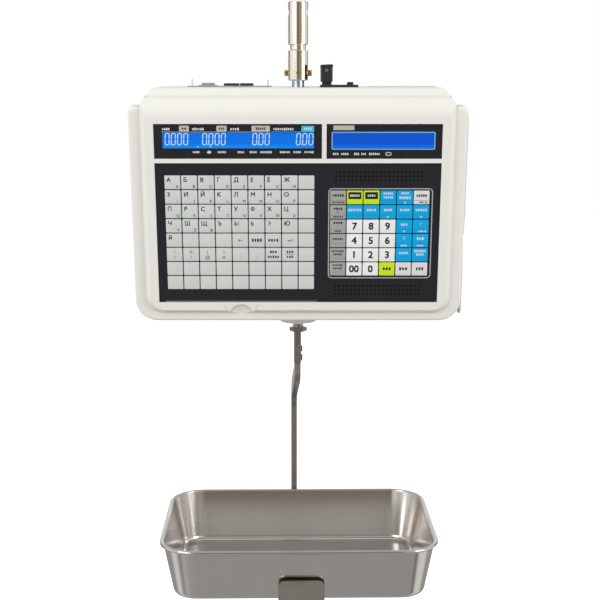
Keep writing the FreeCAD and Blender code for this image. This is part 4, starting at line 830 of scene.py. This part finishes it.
LIGHT_TARGET = (0, 0, -0.3)
soft_light("key_light", (-1.5, -1.6, 0.6), LIGHT_TARGET, (1.1, 1.1), 21)
soft_light("fill_light", (2.0, -1.2, 0.3), LIGHT_TARGET, (0.9, 1.2), 20)
soft_light("top_light", (0, 0.2, 1.6), LIGHT_TARGET, (1.6, 1.2), 2)


def build_world():
    """A white studio for the camera; metal sees its softboxes and dark gaps.

    Each ramp below runs once round the studio by bearing: at the object's own
    level, under it and above it.
    """
    world = bpy.data.worlds.new("studio")
    bpy.context.scene.world = world
    world.use_nodes = True
    tree = world.node_tree
    tree.nodes.clear()
    place = tree.nodes.new("ShaderNodeTexCoord")
    parts = tree.nodes.new("ShaderNodeSeparateXYZ")
    tree.links.new(place.outputs["Generated"], parts.inputs["Vector"])
    forward = tree.nodes.new("ShaderNodeMath")
    forward.operation = "MULTIPLY"
    forward.inputs[1].default_value = -1.0
    tree.links.new(parts.outputs["Y"], forward.inputs[0])
    turn = tree.nodes.new("ShaderNodeMath")
    turn.operation = "ARCTAN2"
    tree.links.new(parts.outputs["X"], turn.inputs[0])
    tree.links.new(forward.outputs["Value"], turn.inputs[1])
    share = tree.nodes.new("ShaderNodeMapRange")
    share.inputs["From Min"].default_value = -math.pi
    share.inputs["From Max"].default_value = math.pi
    tree.links.new(turn.outputs["Value"], share.inputs["Value"])

    def bearing(degrees):
        return (degrees + 180) / 360

    def grey(level, warmth=0.0):
        return (level * (1 + warmth), level, level * (1 - warmth), 1)

    around = ramp(tree, share.outputs["Result"], [
        (bearing(-180), grey(0.95)), (bearing(-150), grey(0.9)), (bearing(-138), grey(0.3, 0.1)),
        (bearing(-108), grey(0.36, 0.1)), (bearing(-98), grey(1.0)), (bearing(-50), grey(1.0)),
        (bearing(-44), grey(0.62, 0.04)), (bearing(-36), grey(0.62, 0.04)), (bearing(-32), grey(1.0)),
        (bearing(-16), grey(1.0)), (bearing(-11), grey(0.14, 0.2)), (bearing(8), grey(0.16, 0.25)),
        (bearing(16), grey(0.3, 0.4)), (bearing(42), grey(0.27, 0.3)), (bearing(47), grey(1.0)),
        (bearing(76), grey(1.0)), (bearing(82), grey(0.6)), (bearing(90), grey(0.6)),
        (bearing(96), grey(1.0)), (bearing(112), grey(1.0)), (bearing(122), grey(0.3)),
        (bearing(140), grey(0.35)), (bearing(150), grey(0.9)), (bearing(180), grey(0.95))])
    below = ramp(tree, share.outputs["Result"], [
        (bearing(-180), grey(0.4)), (bearing(-112), grey(0.4)), (bearing(-104), grey(0.95)),
        (bearing(-84), grey(0.95)), (bearing(-76), grey(0.34)), (bearing(-66), grey(0.34)),
        (bearing(-56), grey(0.66)), (bearing(-40), grey(0.5)), (bearing(-12), grey(0.44, 0.02)),
        (bearing(36), grey(0.42, 0.02)), (bearing(52), grey(0.46)), (bearing(60), grey(0.16)),
        (bearing(66), grey(0.16)), (bearing(74), grey(0.95)), (bearing(106), grey(0.95)),
        (bearing(116), grey(0.4)), (bearing(180), grey(0.4))])
    above = ramp(tree, share.outputs["Result"], [
        (bearing(-180), grey(0.95)), (bearing(-150), grey(0.85)), (bearing(-136), grey(0.4)),
        (bearing(-112), grey(0.95)), (bearing(-18), grey(0.95)), (bearing(-10), grey(0.2)),
        (bearing(9), grey(0.2)), (bearing(14), grey(0.85)), (bearing(112), grey(0.95)),
        (bearing(136), grey(0.4)), (bearing(150), grey(0.85)), (bearing(180), grey(0.95))])
    level = tree.nodes.new("ShaderNodeMapRange")
    level.inputs["From Min"].default_value = -1.0
    level.inputs["From Max"].default_value = 1.0
    tree.links.new(parts.outputs["Z"], level.inputs["Value"])
    floor_share = ramp(tree, level.outputs["Result"], [(0.36, (1, 1, 1, 1)), (0.46, (0, 0, 0, 1))])
    roof_share = ramp(tree, level.outputs["Result"], [(0.72, (0, 0, 0, 1)), (0.86, (1, 1, 1, 1))])

    def blend_in(share_socket, base, colour):
        """Base turned into a colour, or into another socket's colour, by a share."""
        node = tree.nodes.new("ShaderNodeMix")
        node.data_type = "RGBA"
        tree.links.new(share_socket, node.inputs["Factor"])
        tree.links.new(base, node.inputs["A"])
        if isinstance(colour, tuple):
            node.inputs["B"].default_value = colour
        else:
            tree.links.new(colour, node.inputs["B"])
        return node.outputs["Result"]

    upper_share = ramp(tree, level.outputs["Result"], [(0.56, (0, 0, 0, 1)), (0.59, (1, 1, 1, 1))])
    walls = blend_in(upper_share, blend_in(floor_share, around, below), above)
    studio = blend_in(roof_share, walls, grey(0.55))
    seen = tree.nodes.new("ShaderNodeLightPath")
    whole = tree.nodes.new("ShaderNodeMix")
    whole.data_type = "RGBA"
    tree.links.new(seen.outputs["Is Camera Ray"], whole.inputs["Factor"])
    tree.links.new(studio, whole.inputs["A"])
    whole.inputs["B"].default_value = WHITE
    background = tree.nodes.new("ShaderNodeBackground")
    tree.links.new(whole.outputs["Result"], background.inputs["Color"])
    output = tree.nodes.new("ShaderNodeOutputWorld")
    tree.links.new(background.outputs["Background"], output.inputs["Surface"])


build_world()
FLOOR_Z = -1.15
floor_data = bpy.data.meshes.new("floor")
floor_data.from_pydata([(x, y, FLOOR_Z) for x, y in ((-9, -9), (9, -9), (9, 9), (-9, 9))], [], [(0, 1, 2, 3)])
floor = bpy.data.objects.new("floor", floor_data)
bpy.context.scene.collection.objects.link(floor)
floor_material, floor_tree, floor_shader = new_material("floor_paper", Roughness=0.9,
                                                        Emission_Strength=0.7)
floor_shader.inputs["Emission Color"].default_value = WHITE
floor_tree.links.new(ramp(floor_tree, noise(floor_tree, 3, 2), [(0.3, (0.86, 0.86, 0.86, 1)),
                                                                (0.7, (0.88, 0.88, 0.88, 1))]),
                     floor_shader.inputs["Base Color"])
floor_data.materials.append(floor_material)
floor.visible_glossy = False
floor.visible_diffuse = False

bpy.context.scene.view_settings.view_transform = "Standard"
